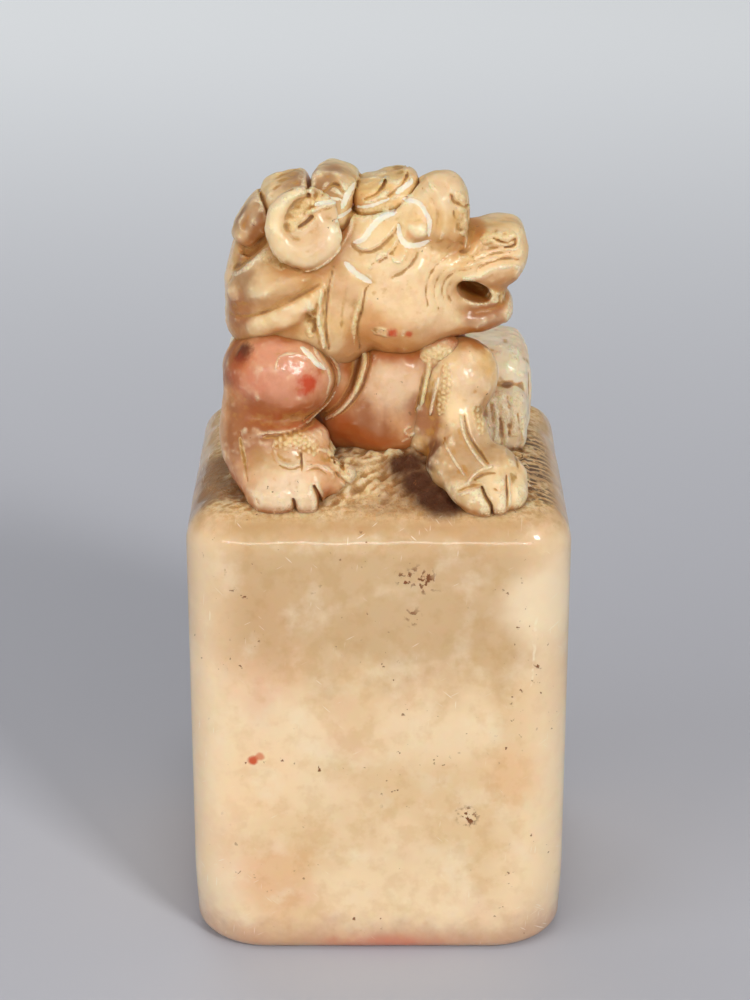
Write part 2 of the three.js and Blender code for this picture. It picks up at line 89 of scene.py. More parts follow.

# The stone's tints, and the patches where one of them shows: middle, with its height above the ground,
# reach, strength and tint. The russet patches are painted shade, and the first patch of the block is a
# painted highlight.
IVORY = (0.94, 0.80, 0.58)
PEACH = (0.94, 0.66, 0.39)
SAND = (0.78, 0.57, 0.37)
APRICOT = (0.82, 0.42, 0.18)
ROSE = (0.70, 0.28, 0.17)
TAN = (0.62, 0.38, 0.16)
BARK = (0.42, 0.22, 0.10)
SHADE_RUSSET = (0.36, 0.12, 0.035)
OXBLOOD = (0.60, 0.07, 0.015)
SOOT = (0.13, 0.03, 0.01)
DIRT = (0.22, 0.075, 0.02)
HEAD_PATCHES = [
    ((2.2, -6.9, 13.2), 3.2, 0.5, PEACH),
    ((7.6, -4.8, 14.8), 2.4, 0.7, PEACH),
    ((-2.2, -6.6, 12.8), 1.9, 0.7, PEACH),
    ((-6.0, -7.0, 12.7), 1.8, 0.8, PEACH),
    ((0.2, -6.8, 9.8), 2.8, 0.65, APRICOT),
    ((-4.4, -7.8, 16.6), 2.8, 0.6, SAND),
    ((4.0, -5.4, 19.6), 1.8, 0.6, SAND),
    ((6.0, -7.2, 7.4), 2.3, 0.7, SAND),
    ((-7.0, -6.9, 13.5), 3.0, 0.6, TAN),
    ((6.6, -4.2, 17.0), 2.2, 0.4, TAN),
    ((6.0, -11.0, 0.5), 1.8, 0.6, TAN),
    ((-4.3, -4.0, 20.0), 3.3, 0.95, BARK),
    ((-8.4, -4.8, 17.6), 2.6, 0.95, BARK),
    ((-8.7, -5.7, 14.5), 2.4, 0.75, BARK),
    ((5.6, -9.0, 2.8), 3.3, 0.6, BARK),
    # The next three: painted shade under the lowest lock, at the corner of the mouth and beside the chest.
    ((-9.2, -5.7, 11.4), 2.3, 0.85, SHADE_RUSSET),
    ((7.0, -5.0, 10.9), 2.4, 0.9, SHADE_RUSSET),
    ((3.1, -6.5, 4.5), 2.4, 0.9, SHADE_RUSSET),
    ((3.2, -7.6, 2.2), 1.9, 0.9, SOOT),
    ((2.0, -6.2, 16.8), 0.5, 0.8, APRICOT),
    ((2.8, -6.3, 17.2), 0.6, 0.7, IVORY),
]
BODY_PATCHES = [
    ((-6.2, -8.0, 8.0), 4.0, 0.75, ROSE),
    ((0.9, -7.0, 7.0), 3.1, 0.8, SAND),
    # The next four: painted shade beside and under the right shoulder, low on the chest and beside the
    # chest.
    ((-9.8, -6.5, 8.2), 2.3, 0.95, SHADE_RUSSET),
    ((-8.3, -7.8, 4.3), 3.2, 0.9, SHADE_RUSSET),
    ((-1.0, -6.4, 3.8), 2.9, 0.95, SHADE_RUSSET),
    ((3.2, -6.4, 5.0), 1.9, 0.85, SHADE_RUSSET),
    ((-7.2, -9.8, 2.6), 1.9, 0.5, TAN),
    ((-5.9, -10.7, 0.8), 3.0, 0.6, IVORY),
]
HIND_PATCHES = [
    ((9.3, 1.2, 5.6), 2.6, 0.6, IVORY),
    ((8.6, -0.6, 2.6), 2.6, 0.9, IVORY),
]
BLOCK_PATCHES = [
    # A painted highlight at the upper right of the front.
    ((10.5, -6.0), 3.8, 0.7, IVORY),
    ((-9.0, -19.0), 5.0, 0.6, PEACH),
    ((-8.0, -8.0), 6.0, 0.25, ROSE),
    ((8.8, -18.5), 3.0, 0.3, APRICOT),
    ((-7.0, -26.0), 3.5, 0.3, APRICOT),
    ((1.5, -21.0), 8.0, 0.12, TAN),
]
FLECKS = [
    ((-4.3, -8.5, 7.5), 1.2, 0.97, OXBLOOD),
    ((-3.3, -7.7, 8.2), 0.8, 0.7, OXBLOOD),
    ((0.8, -6.9, 10.4), 0.5, 0.95, OXBLOOD),
    ((2.0, -6.8, 10.3), 0.4, 0.8, OXBLOOD),
    ((-8.8, -7.0, 9.3), 1.0, 0.95, SOOT),
    ((-8.6, -7.5, 7.8), 1.9, 0.35, OXBLOOD),
]


def curve(points, count):
    """Places evenly spaced along a smooth curve through the given points: a cubic between neighbours, whose
    slope at a point is that of the line between the points on either side of it."""
    given = np.asarray(points, float)
    ends = np.vstack([2 * given[0] - given[1], given, 2 * given[-1] - given[-2]])
    run = np.linspace(0, len(given) - 1, 16 * len(given))
    i = np.minimum(run.astype(int), len(given) - 2)
    t = (run - i)[:, None]
    a, b, c, d = ends[i], ends[i + 1], ends[i + 2], ends[i + 3]
    line = 0.5 * (2 * b + (c - a) * t + (2 * a - 5 * b + 4 * c - d) * t**2 + (3 * b - a - 3 * c + d) * t**3)
    gone = np.linalg.norm(np.diff(line, axis=0), axis=1)
    along = np.concatenate([[0], np.cumsum(gone)]) / gone.sum()
    even = np.linspace(0, 1, count)
    return np.stack([np.interp(even, along, line[:, k]) for k in range(given.shape[1])], axis=1)


def smooth_run(places, knots, values):
    """Values between knots on a cubic whose slope at a knot is taken from the knots on either side."""
    slopes = np.gradient(values, knots)
    i = np.clip(np.searchsorted(knots, places) - 1, 0, len(knots) - 2)
    gap = knots[i + 1] - knots[i]
    t = (places - knots[i]) / gap
    start = values[i] * (1 + 2 * t) * (1 - t) ** 2 + gap * slopes[i] * t * (1 - t) ** 2
    return start + values[i + 1] * t**2 * (3 - 2 * t) + gap * slopes[i + 1] * t**2 * (t - 1)


def eased_min(a, b, reach):
    """The lesser of two distances, rounded where they come within reach of each other: a fillet."""
    if reach <= 0:
        return np.minimum(a, b)
    share = np.clip(0.5 + 0.5 * (b - a) / reach, 0, 1)
    return b + (a - b) * share - reach * share * (1 - share)


def eased_max(a, b, reach):
    """The greater of two distances, rounded in the same way: a worn edge."""
    return -eased_min(-a, -b, reach)


def levelled(value, step, steepest):
    """A value that is zero on a form's surface, divided by its own slope, up to the steepest that the form
    has on its surface: near there, a distance."""
    slope = np.sqrt(sum(part * part for part in np.gradient(value, step)))
    slope = np.minimum(slope, steepest)
    return np.clip(value / np.maximum(slope, 1e-3), -FAR, FAR).astype(np.float32)


class Form:
    """A mass of stone: the corners of the box that holds it, and a rule that is below zero inside it."""

    def __init__(self, low, high, rule, steepest=1e6):
        self.steepest = steepest
        self.low = np.asarray(low, float)
        self.high = np.asarray(high, float)
        self.rule = rule


def egg(centre, halves, corner=2.0, lean=0.0, turn=0.0, slant=0.0):
    """|u/length|^n + |v/width|^n + |w/rise|^n = 1, with n the corner: 2 is an egg and more is boxier. The
    form is tipped about Y by lean and turned about Z by turn, in degrees, and slant is how far it leans back
    for each millimetre up."""
    length, width, rise = halves
    centre = np.array(centre, float)
    tip, spin = math.radians(lean), math.radians(turn)
    reach = np.array(halves) if not (lean or turn) else np.full(3, math.hypot(*sorted(halves)[1:]))
    reach = reach + np.array([0, abs(slant) * reach[2], 0])

    def rule(x, y, z):
        dx, dy, dz = x - centre[0], y - centre[1], z - centre[2]
        dy = dy - slant * dz
        dx, dy = dx * math.cos(spin) + dy * math.sin(spin), dy * math.cos(spin) - dx * math.sin(spin)
        u = dx * math.cos(tip) + dz * math.sin(tip)
        w = dz * math.cos(tip) - dx * math.sin(tip)
        total = np.abs(u / length) ** corner + np.abs(dy / width) ** corner + np.abs(w / rise) ** corner
        return np.maximum(total, 1e-6) ** (1 / corner) - 1

    return Form(centre - reach, centre + reach, rule)


def strand(points, widths, depth, out, corner=2.0):
    """A section carried along a curve, rounded, or squarer with a corner above 2. Its half width runs
    through widths, its half depth faces out, and both close in a blunt round at the two ends."""
    path = curve(points, PATH_POINTS)
    share = np.linspace(0, 1, PATH_POINTS)
    swell = np.sqrt(np.clip(1 - (2 * share - 1) ** 4, 0.01, 1))
    wide = np.interp(share, np.linspace(0, 1, len(widths)), widths) * swell
    deep = depth * swell
    tangent = np.gradient(path, axis=0)
    tangent /= np.linalg.norm(tangent, axis=1, keepdims=True)
    facing = np.array(out(path) if callable(out) else np.broadcast_to(out, path.shape), float)
    facing -= tangent * np.sum(facing * tangent, axis=1, keepdims=True)
    facing /= np.linalg.norm(facing, axis=1, keepdims=True)

    def rule(x, y, z):
        least = None
        for i in range(PATH_POINTS - 1):
            span = path[i + 1] - path[i]
            ox, oy, oz = x - path[i, 0], y - path[i, 1], z - path[i, 2]
            t = np.clip((ox * span[0] + oy * span[1] + oz * span[2]) / float(span @ span), 0, 1)
            ox, oy, oz = ox - t * span[0], oy - t * span[1], oz - t * span[2]
            rise = ox * facing[i, 0] + oy * facing[i, 1] + oz * facing[i, 2]
            aside = np.maximum(ox * ox + oy * oy + oz * oz - rise * rise, 0)
            w = wide[i] + t * (wide[i + 1] - wide[i])
            d = deep[i] + t * (deep[i + 1] - deep[i])
            size = (aside / (w * w)) ** (corner / 2) + (rise * rise / (d * d)) ** (corner / 2)
            least = size if least is None else np.minimum(least, size)
        return least ** (1 / corner) - 1

    reach = max(max(widths), depth)
    return Form(path.min(axis=0) - reach, path.max(axis=0) + reach, rule)


def loft(way, stations, start, end):
    """Ellipses carried along X (way 0) or Y (way 1). Each station has its place along, its middle across and
    up, its half width and its half rise, with cubics between stations and a round end at start and end."""
    knots = np.array(stations, float)

    def rule(x, y, z):
        along, across = (x, y) if way == 0 else (y, x)
        run = along.ravel()
        held = np.clip(run, knots[0, 0], knots[-1, 0])
        before = np.clip((knots[0, 0] - run) / (knots[0, 0] - start), 0, 1)
        after = np.clip((run - knots[-1, 0]) / (end - knots[-1, 0]), 0, 1)
        closing = np.sqrt(np.clip(1 - np.maximum(before, after) ** 2, 1e-4, 1))
        parts = [smooth_run(held, knots[:, 0], knots[:, k]) for k in (1, 2, 3, 4)]
        middle, height, wide, tall = (part.reshape(along.shape) for part in parts)
        closing = closing.reshape(along.shape)
        aside = (across - middle) / (wide * closing)
        above = (z - height) / (tall * closing)
        return np.sqrt(aside**2 + above**2) - 1

    side = float(np.abs(knots[:, 1]).max() + knots[:, 3].max())
    middle = float(knots[0, 1]) if way == 0 else 0.0
    reach = float(knots[:, 3].max()) if way == 0 else side
    low_z = float((knots[:, 2] - knots[:, 4]).min())
    high_z = float((knots[:, 2] + knots[:, 4]).max())
    low = (start, middle - reach, low_z) if way == 0 else (middle - reach, start, low_z)
    high = (end, middle + reach, high_z) if way == 0 else (middle + reach, end, high_z)
    return Form(low, high, rule, 1.2 / float(knots[:, 3:].min()))


def remaining(corner, a, b):
    """How far out a mass of unit half sizes still reaches, once two of its ways out are used to a share."""
    return max(1 - abs(a) ** corner - abs(b) ** corner, 0) ** (1 / corner)


def on_side(mass, along, up, lift):
    """A point on the near side of a mass of the head, from shares of its half length and half rise."""
    centre, (length, width, rise), corner = mass
    out = width * remaining(corner, along, up) + lift
    return (centre[0] + along * length, centre[1] - out, centre[2] + up * rise)


def on_back(mass, aside, up):
    """A point behind a mass of the head."""
    centre, (length, width, rise), corner = mass
    back = length * remaining(corner, aside, up)
    return (centre[0] - back, centre[1] + aside * width, centre[2] + up * rise)


def away_from(mass):
    """The way out from a mass's middle, for a strand that lies on it."""
    return lambda path: path - np.array(mass[0])


def uneven(axes, size, seed):
    """Soft random values from -1 to 1: a random lattice with points size apart, read between its points with
    an eased blend, one way after another."""
    chance = np.random.default_rng(seed)
    counts = [int((axis[-1] - axis[0]) / size) + 3 for axis in axes]
    values = chance.uniform(-1, 1, counts).astype(np.float32)
    for k, axis in enumerate(axes):
        run = (axis - axis[0]) / size
        i = run.astype(int)
        t = (run - i).astype(np.float32)
        t = t * t * (3 - 2 * t)
        t = t.reshape([-1 if j == k else 1 for j in range(len(axes))])
        values = np.take(values, i, axis=k) * (1 - t) + np.take(values, i + 1, axis=k) * t
    return values


def softened(field, reach):
    """The field averaged over 2 reach + 1 points each way, three times over, which is close to a bell."""
    for k in range(field.ndim):
        for _ in range(3):
            edges = [(reach + 1, reach) if j == k else (0, 0) for j in range(field.ndim)]
            sums = np.cumsum(np.pad(field, edges, mode="edge"), axis=k, dtype=np.float64)
            count = field.shape[k]
            upper = np.take(sums, np.arange(count) + 2 * reach + 1, axis=k)
            lower = np.take(sums, np.arange(count), axis=k)
            field = ((upper - lower) / (2 * reach + 1)).astype(np.float32)
    return field


def read_between(field, spots):
    """The field's value at places given in its own steps, blended from the eight points around each."""
    top = np.array(field.shape) - 2
    i = np.clip(spots.astype(int), 0, top)
    t = np.clip(spots - i, 0, 1)
    total = 0
    for corner in np.ndindex(2, 2, 2):
        share = np.prod(np.where(np.array(corner), t, 1 - t), axis=1)
        total = total + share * field[tuple((i + np.array(corner)).T)]
    return total


def beside(a, b, path):
    """Where places lie against a line on a flat plane: how far from it, on which side, 1 being the left of
    its way, and how far along it from 0 to 1."""
    line = curve(path, 7 * len(path))
    last = len(line) - 1
    gap = side = along = None
    for i in range(last):
        span = line[i + 1] - line[i]
        da, db = a - line[i, 0], b - line[i, 1]
        t = np.clip((da * span[0] + db * span[1]) / float(span @ span), 0, 1)
        off = np.hypot(da - t * span[0], db - t * span[1])
        left = np.sign(span[0] * db - span[1] * da)
        if gap is None:
            gap, side, along = off, left, t / last
        else:
            near = off < gap
            gap = np.where(near, off, gap)
            side = np.where(near, left, side)
            along = np.where(near, (i + t) / last, along)
    return gap, side, along


def tapered(along):
    """1 along the middle of a line, closing to nothing at both of its ends."""
    return np.sqrt(np.clip(1 - (2 * along - 1) ** 4, 0, 1))


def nearness(a, b, path, half_width, taper=True):
    """1 on a line and 0 at its half width, which narrows towards both ends where the line tapers."""
    gap, _, along = beside(a, b, path)
    wide = half_width * (np.maximum(tapered(along), 0.1) if taper else 1)
    return np.clip(1 - gap / wide, 0, 1)


class Carving:
    """Stone as a field on a grid of points: at each, how far it lies outside the carved surface, and below
    zero in the stone. Masses that run into one another are one surface in it, which no grid of two
    parameters gives."""

    PLANES = {"side": (0, 2, 1), "top": (0, 1, 2), "end": (1, 2, 0)}

    # How much of a line's and of a step's depth is left by the last polish.
    LINE_LEFT = 0.62
    STEP_LEFT = 0.7

    def __init__(self, low, high, grain):
        self.low = np.array(low, float)
        self.grain = grain * COARSER
        counts = np.ceil((np.array(high) - self.low) / self.grain).astype(int) + 1
        self.axes = [(a + self.grain * np.arange(n)).astype(np.float32) for a, n in zip(low, counts)]
        self.field = np.full(counts, FAR, np.float32)
        self.drawn = []

    def window(self, low, high):
        """The part of the grid between two corners, as slices and as open rows of places."""
        pick = []
        for axis, a, b in zip(self.axes, low, high):
            i = min(max(0, int((a - axis[0]) / self.grain)), len(axis) - 3)
            pick.append(slice(i, max(i + 3, min(len(axis), int((b - axis[0]) / self.grain) + 2))))
        return tuple(pick), np.ix_(*(axis[part] for axis, part in zip(self.axes, pick)))

    def mass(self, form, pad, mirrored):
        """A form's distance in the window that holds it. Mirrored, it is on both sides of the midline."""
        low, high = form.low - pad, form.high + pad
        if mirrored:
            high = np.array([high[0], 2 * MIDLINE - low[1], high[2]])
        pick, (x, y, z) = self.window(low, high)
        if mirrored:
            y = MIDLINE - np.abs(y - MIDLINE)
        return pick, levelled(np.asarray(form.rule(x, y, z), np.float32), self.grain, form.steepest)

    def add(self, form, fillet=0.15, channel=0.0, depth=0.4, mirrored=False):
        """Puts a mass on, after cutting a channel round it where it leaves the stone that is there."""
        pick, mass = self.mass(form, 0.4 + fillet + channel, mirrored)
        here = self.field[pick]
        if channel:
            moat = np.maximum(mass - channel, -(here + depth))
            here = eased_max(here, -moat, 0.12)
        self.field[pick] = eased_min(here, mass, fillet)

    def cut(self, form, wear=0.15, mirrored=False):
        """Takes a mass away."""
        pick, mass = self.mass(form, 0.4 + wear, mirrored)
        self.field[pick] = eased_max(self.field[pick], -mass, wear)

    def beside_line(self, plane, path, reach, span, mark, both_sides):
        """The window round a line that is drawn on a plane and carried straight through the stone over a
        span of the third way, with its places on the plane and a fade towards the midline of the head."""
        first, second, third = self.PLANES[plane]
        line = curve(path, 6 * len(path))
        low, high = np.zeros(3), np.zeros(3)
        low[[first, second]] = line.min(axis=0) - reach
        high[[first, second]] = line.max(axis=0) + reach
        low[third], high[third] = span
        pick, places = self.window(low, high)
        fade = np.clip((np.abs(places[1] - MIDLINE) - 1.0) / 0.8, 0, 1) if both_sides else 1.0
        if mark:
            self.drawn.append((mark, plane, path, reach, span, both_sides))
        return pick, places[first], places[second], fade

    def score(self, plane, path, half_width, depth, span=(-99, 99), both_sides=False, flat=1.0, mark=None):
        """Cuts a line. Flat above 1 widens its floor, and a depth below zero raises a ridge."""
        pick, a, b, fade = self.beside_line(plane, path, half_width, span, mark, both_sides)
        share = np.clip(flat * nearness(a, b, path, half_width), 0, 1)
        cut = self.LINE_LEFT * depth * share * share * (3 - 2 * share) * fade
        self.field[pick] += cut.astype(np.float32)

    def step(self, plane, path, depth, run, span=(-99, 99), both_sides=False):
        """Lowers the stone on the left of a line and lets it rise again over a run, so that what lies on the
        right of the line overlaps it, as one lock of hair does another."""
        pick, a, b, fade = self.beside_line(plane, path, run, span, None, both_sides)
        gap, side, along = beside(a, b, path)
        low = np.where(side > 0, np.clip(1 - gap / run, 0, 1) ** 1.6, np.clip(1 - gap / 0.14, 0, 1))
        self.field[pick] += (self.STEP_LEFT * depth * tapered(along) * low * fade).astype(np.float32)

    def crumble(self, plane, path, half_width, depth, seed, span=(-99, 99), both_sides=False):
        """Leaves a band along a line as rough as a punch leaves it, for gold coloured dirt to lie in."""
        pick, a, b, fade = self.beside_line(plane, path, half_width, span, "gold", both_sides)
        share = np.clip(2 * nearness(a, b, path, half_width), 0, 1)
        axes = [axis[part] for axis, part in zip(self.axes, pick)]
        rough = uneven(axes, 0.27, seed) + 0.9 * uneven(axes, 0.18, seed + 1)
        self.field[pick] += (depth * share * rough * fade).astype(np.float32)

    def bead(self, plane, path, half_width, depth, pitch, seed, span=(-99, 99)):
        """Raises close rows of small beads along a line, as a fine punch leaves them, with gold between."""
        pick, a, b, _ = self.beside_line(plane, path, half_width, span, "gold", False)
        share = np.clip(2 * nearness(a, b, path, half_width), 0, 1)
        axes = [axis[part] for axis, part in zip(self.axes, pick)]
        a = a + 0.3 * pitch * uneven(axes, 2.2 * pitch, seed)
        b = b + 0.3 * pitch * uneven(axes, 2.2 * pitch, seed + 1)
        turn = 2 * math.pi / pitch
        beads = np.cos(turn * a) + np.cos(turn * (a / 2 + 0.87 * b)) + np.cos(turn * (a / 2 - 0.87 * b))
        self.field[pick] -= (depth * share * np.clip(beads / 3, -0.3, 1)).astype(np.float32)

    def marked(self, mark, places):
        """How near places on the surface are to the lines that carry a mark."""
        total = np.zeros(len(places))
        for kept, plane, path, half_width, span, both_sides in self.drawn:
            if kept != mark:
                continue
            first, second, third = self.PLANES[plane]
            low = np.min(path, axis=0) - half_width - 0.3
            high = np.max(path, axis=0) + half_width + 0.3
            flat = places[:, [first, second]]
            near = np.all((flat > low) & (flat < high), axis=1)
            near &= (places[:, third] > span[0]) & (places[:, third] < span[1])
            if both_sides:
                near &= np.abs(places[:, 1] - MIDLINE) > 1.3
            if near.any():
                share = nearness(flat[near, 0], flat[near, 1], path, half_width)
                total[near] = np.maximum(total[near], share)
        return total

    def roughen_near(self, plane, path, half_width, amount, seed):
        """Leaves a band along a line uneven, as one knife stroke after another leaves it."""
        pick, a, b, _ = self.beside_line(plane, path, half_width, (-99, 99), None, False)
        share = np.clip(2 * nearness(a, b, path, half_width), 0, 1)
        axes = [axis[part] for axis, part in zip(self.axes, pick)]
        self.field[pick] += (amount * share * uneven(axes, 0.6, seed)).astype(np.float32)

    def roughen(self, size, amount, seed):
        """Leaves the surface as uneven as a hand cuts it."""
        self.field += amount * uneven(self.axes, size, seed)

    def trim(self, low):
        """Ends the stone below, out of sight in the ground."""
        self.field = np.maximum(self.field, low - self.axes[2][None, None, :])


def laid_on(mass, path, lift=0.0):
    """Points on the near side of a mass of the head above places along and heights, in millimetres."""
    (x, _, z), (length, _, rise), _ = mass
    return [on_side(mass, (a - x) / length, (h - z) / rise, lift) for a, h in path]


def flat_chip(point, normal, radius):
    """What a flat stroke of the knife takes off: what lies beyond a plane, within a radius of a point."""
    way = np.array(normal, float)
    way /= np.linalg.norm(way)
    centre = np.array(point, float)

    def rule(x, y, z):
        dx, dy, dz = x - centre[0], y - centre[1], z - centre[2]
        beyond = dx * way[0] + dy * way[1] + dz * way[2]
        return np.maximum(-beyond, np.sqrt(dx * dx + dy * dy + dz * dz) - radius)

    return Form(centre - radius, centre + radius, rule)


def carved_head():
    """The head: skull, mane, muzzle and jaw, then the ears, curls and locks that are cut on them."""
    stone = Carving((-10.8, -8.8, 6.2), (10.6, 4.4, 21.4), 0.115)
    stone.add(egg(SKULL[0], SKULL[1]))
    stone.add(egg((-4.85, MIDLINE, 12.3), (4.95, 4.8, 5.3), 2.8), 0.8)
    stone.add(egg((-7.6, MIDLINE, 10.7), (2.4, 4.2, 1.9), 2.8), 0.5)
    muzzle = [
        (2.5, MIDLINE, 14.4, 4.0, 2.5),
        (4.8, MIDLINE, 14.2, 3.6, 2.4),
        (6.5, MIDLINE, 14.1, 3.25, 2.2),
        (7.8, MIDLINE, 14.1, 2.9, 2.0),
        (8.7, MIDLINE, 14.2, 2.5, 1.75),
    ]
    jaw = [
        (2.5, MIDLINE, 10.9, 3.8, 1.8),
        (4.6, MIDLINE, 10.7, 3.5, 1.45),
        (6.2, MIDLINE, 10.65, 3.15, 1.35),
        (7.4, MIDLINE, 10.8, 2.8, 1.25),
        (8.1, MIDLINE, 10.95, 2.4, 1.05),
    ]
    stone.add(loft(0, muzzle, 1.0, 9.75), 0.5)
    stone.cut(flat_chip((8.9, MIDLINE, 13.0), (0.89, 0, -0.46), 3.0), 0.5)
    stone.add(loft(0, jaw, 1.0, 8.85), 0.35)
    stone.add(egg((5.4, MIDLINE, 12.3), (2.5, 3.1, 1.5), 2.4), 0.4)
    stone.add(egg((7.1, MIDLINE, 12.2), (1.15, 2.7, 1.3), 2.6), 0.3)
    stone.add(egg((1.3, -4.3, 11.5), (4.0, 2.6, 3.1)), 1.0, mirrored=True)
    stone.add(egg((7.75, MIDLINE, 15.5), (1.7, 2.5, 1.3), 3.2), 0.3)
    stone.add(egg((8.75, MIDLINE, 14.95), (0.95, 2.25, 0.9), 2.2), 0.4)

    # The hole of the mouth, the slit that runs on to the front and the lip above.
    stone.cut(egg((6.15, -5.2, 12.7), (1.2, 2.9, 0.64), 2.2, -28), 0.12, mirrored=True)
    stone.crumble("side", [(6.9, 12.6), (7.6, 12.2), (8.4, 12.0)], 0.55, 0.09, 119, both_sides=True)
    stone.score("side", [(5.3, 13.72), (6.4, 13.8), (7.25, 14.25), (8.3, 14.4), (9.1, 14.2)], 0.4, -0.22,
                both_sides=True)
    stone.score("side", [(6.1, 14.2), (7.1, 14.7), (8.3, 14.85), (9.2, 14.65)], 0.16, 0.16, both_sides=True)

    # Folds round the corner of the mouth and on the snout, and the nostril.
    for reach, first, depth in ((0.95, 2.3, 0.1), (1.3, 1.9, 0.16), (1.8, 2.1, 0.1), (2.35, 1.9, 0.12)):
        turns = first + np.array([0, 0.6, 1.1, 1.6])
        fold = np.stack([5.35 + reach * np.cos(turns), 12.95 + 1.1 * reach * np.sin(turns)], axis=1)
        stone.score("side", fold, 0.15, depth, both_sides=True)
    for path in ([(5.83, 14.96), (6.66, 15.35), (7.76, 15.55), (9.0, 15.6)],
                 [(5.28, 14.6), (6.38, 14.9), (7.49, 15.15), (8.6, 15.2)],
                 [(4.9, 14.3), (5.8, 14.35), (6.6, 14.6)],
                 [(6.2, 15.3), (7.0, 15.75), (7.6, 15.9)]):
        stone.score("side", path, 0.18, 0.14, both_sides=True)
    stone.score("side", [(5.9, 16.9), (6.05, 16.3), (5.89, 15.75), (5.6, 15.4), (5.1, 15.4)], 0.26, 0.42,
                both_sides=True)
    nostril = [(7.3, 16.1), (7.8, 15.9), (8.3, 15.8), (8.75, 16.0), (8.65, 15.6), (8.05, 15.5)]
    stone.crumble("side", [(6.5, 16.0), (7.4, 16.1), (8.9, 16.1)], 0.6, 0.05, 101, (-8, -3), both_sides=True)
    stone.score("side", nostril, 0.2, 0.34, both_sides=True, mark="gold")

    # Brows that curl over the eyes. The far one is lower, so that it doesn't stand above the near one.
    stone.add(egg((2.6, -3.4, 17.6), (1.7, 2.3, 1.9), 2.4), 0.5)
    stone.add(egg((5.9, MIDLINE, 15.3), (1.5, 2.6, 1.3), 2.4), 0.4)
    stone.add(egg((3.9, -4.0, 17.8), (1.95, 2.1, 2.55), 2.35), 0.5)
    stone.add(egg((4.0, 2 * MIDLINE + 4.0, 17.0), (1.85, 2.05, 2.2), 2.4), 0.35)
    near_side = (-8, -3)
    roll = [(3.2, 19.9), (3.9, 19.2), (4.2, 18.2), (4.1, 17.1), (3.9, 16.4)]
    front = [(4.9, 19.42), (5.33, 18.55), (5.35, 17.24), (5.58, 16.36)]
    stone.score("side", roll, 0.42, -0.16, near_side)
    stone.crumble("side", front, 0.5, 0.07, 103, near_side)
    for path in ([(3.9, 20.1), (4.5, 19.4), (4.72, 18.3), (4.65, 17.2), (4.35, 16.3)],
                 [(2.7, 19.6), (3.35, 19.0), (3.66, 18.2), (3.6, 17.2), (3.4, 16.5)],
                 [(3.5, 16.1), (4.2, 16.35), (4.8, 16.0)], [(4.3, 15.7), (5.0, 16.1), (5.5, 15.7)]):
        stone.score("side", path, 0.14, 0.1, near_side)
    stone.score("side", [(5.2, 16.9), (5.6, 16.3), (5.5, 15.6)], 0.18, -0.18, near_side)
    stone.step("side", [(4.5, 19.4), (4.75, 18.8), (5.3, 18.5), (5.7, 18.2)], 0.24, 0.5, (-8, -2))
    stone.step("side", [(4.7, 18.3), (4.9, 17.6), (5.0, 17.0), (5.6, 16.9)], 0.22, 0.5, (-8, -2))
    stone.add(egg((2.3, -5.3, 16.95), (1.15, 0.8, 1.1)), 0.35, mirrored=True)
    stone.add(egg((2.45, -5.75, 17.0), (0.78, 0.62, 0.7)), 0.1, mirrored=True)

    # Flames of hair that sweep back from the brow and the eye, each cut down below the one before.
    for path, depth, run in (
        ([(2.9, 20.2), (2.04, 19.5), (0.81, 18.95), (-0.71, 18.6), (-2.3, 18.2)], 0.36, 0.9),
        ([(1.36, 17.42), (0.81, 16.71), (-0.29, 15.85), (-1.25, 15.8), (-1.75, 16.28)], 0.28, 0.8),
        ([(1.5, 16.74), (0.95, 15.88), (0.26, 15.31), (-0.6, 14.95)], 0.24, 0.6),
        ([(2.5, 15.75), (2.2, 15.17), (1.65, 14.6), (0.7, 14.1)], 0.22, 0.6),
    ):
        stone.step("side", path, depth, run, both_sides=True)
    under_eye = [(-0.6, 14.65), (-0.17, 15.09), (0.04, 15.7), (0.68, 15.5), (1.32, 15.1), (1.74, 15.76)]
    stone.score("side", under_eye, 0.15, -0.14, both_sides=True)
    stone.crumble("side", [(-1.9, 17.7), (-0.5, 18.1), (0.9, 18.4)], 0.5, 0.045, 105, both_sides=True)
    stone.score("side", [(-2.0, 17.75), (-0.8, 18.0), (0.6, 18.35), (1.8, 19.0)], 0.15, 0.2, both_sides=True)
    stone.score("side", [(-1.8, 18.1), (-0.6, 18.35), (0.6, 18.7)], 0.14, -0.16, both_sides=True)

    # Ears: a lobe that thins as it curls round a rough hollow to its tip, leaning in at the top.
    for way, drop in ((1, 0.0), (-1, 1.6)):
        side = (-12, MIDLINE) if way > 0 else (MIDLINE, 12)
        leaned = lambda x, h, out: (x, MIDLINE - way * (out - 0.25 * (h - 17.4)), h - drop)
        dish = egg(leaned(-4.75, 17.45, 3.95), (2.3, 0.95, 2.45), 2.2, slant=0.25 * way)
        stone.add(dish, 0.08, 0.12, 0.25)
        curl = [(-3.4, 17.75), (-3.3, 17.1), (-3.85, 16.35), (-4.8, 15.85), (-5.8, 16.1), (-6.5, 17.2),
                (-6.35, 18.45), (-5.5, 19.35), (-4.5, 19.6), (-3.9, 19.45)]
        lobe = [leaned(x, h, 4.35) for x, h in curl]
        widths = [1.1, 1.35, 1.25, 1.02, 0.8, 0.66, 0.6, 0.55, 0.48, 0.3]
        stone.add(strand(lobe, widths, 0.85, (0, -way, 0.25), 2.2), 0.12)
        floor = [(-5.6, 17.3 - drop), (-5.3, 18.2 - drop), (-4.6, 18.7 - drop), (-3.9, 18.9 - drop)]
        stone.crumble("side", floor, 0.7, 0.05, 107, side)
        ridge = [(-4.6, 18.35 - drop), (-3.6, 18.75 - drop), (-2.9, 18.85 - drop), (-2.1, 18.9 - drop)]
        stone.score("side", ridge, 0.2, -0.35, side)
        slit = [(-5.1, 17.5 - drop), (-4.6, 17.8 - drop), (-4.1, 18.25 - drop)]
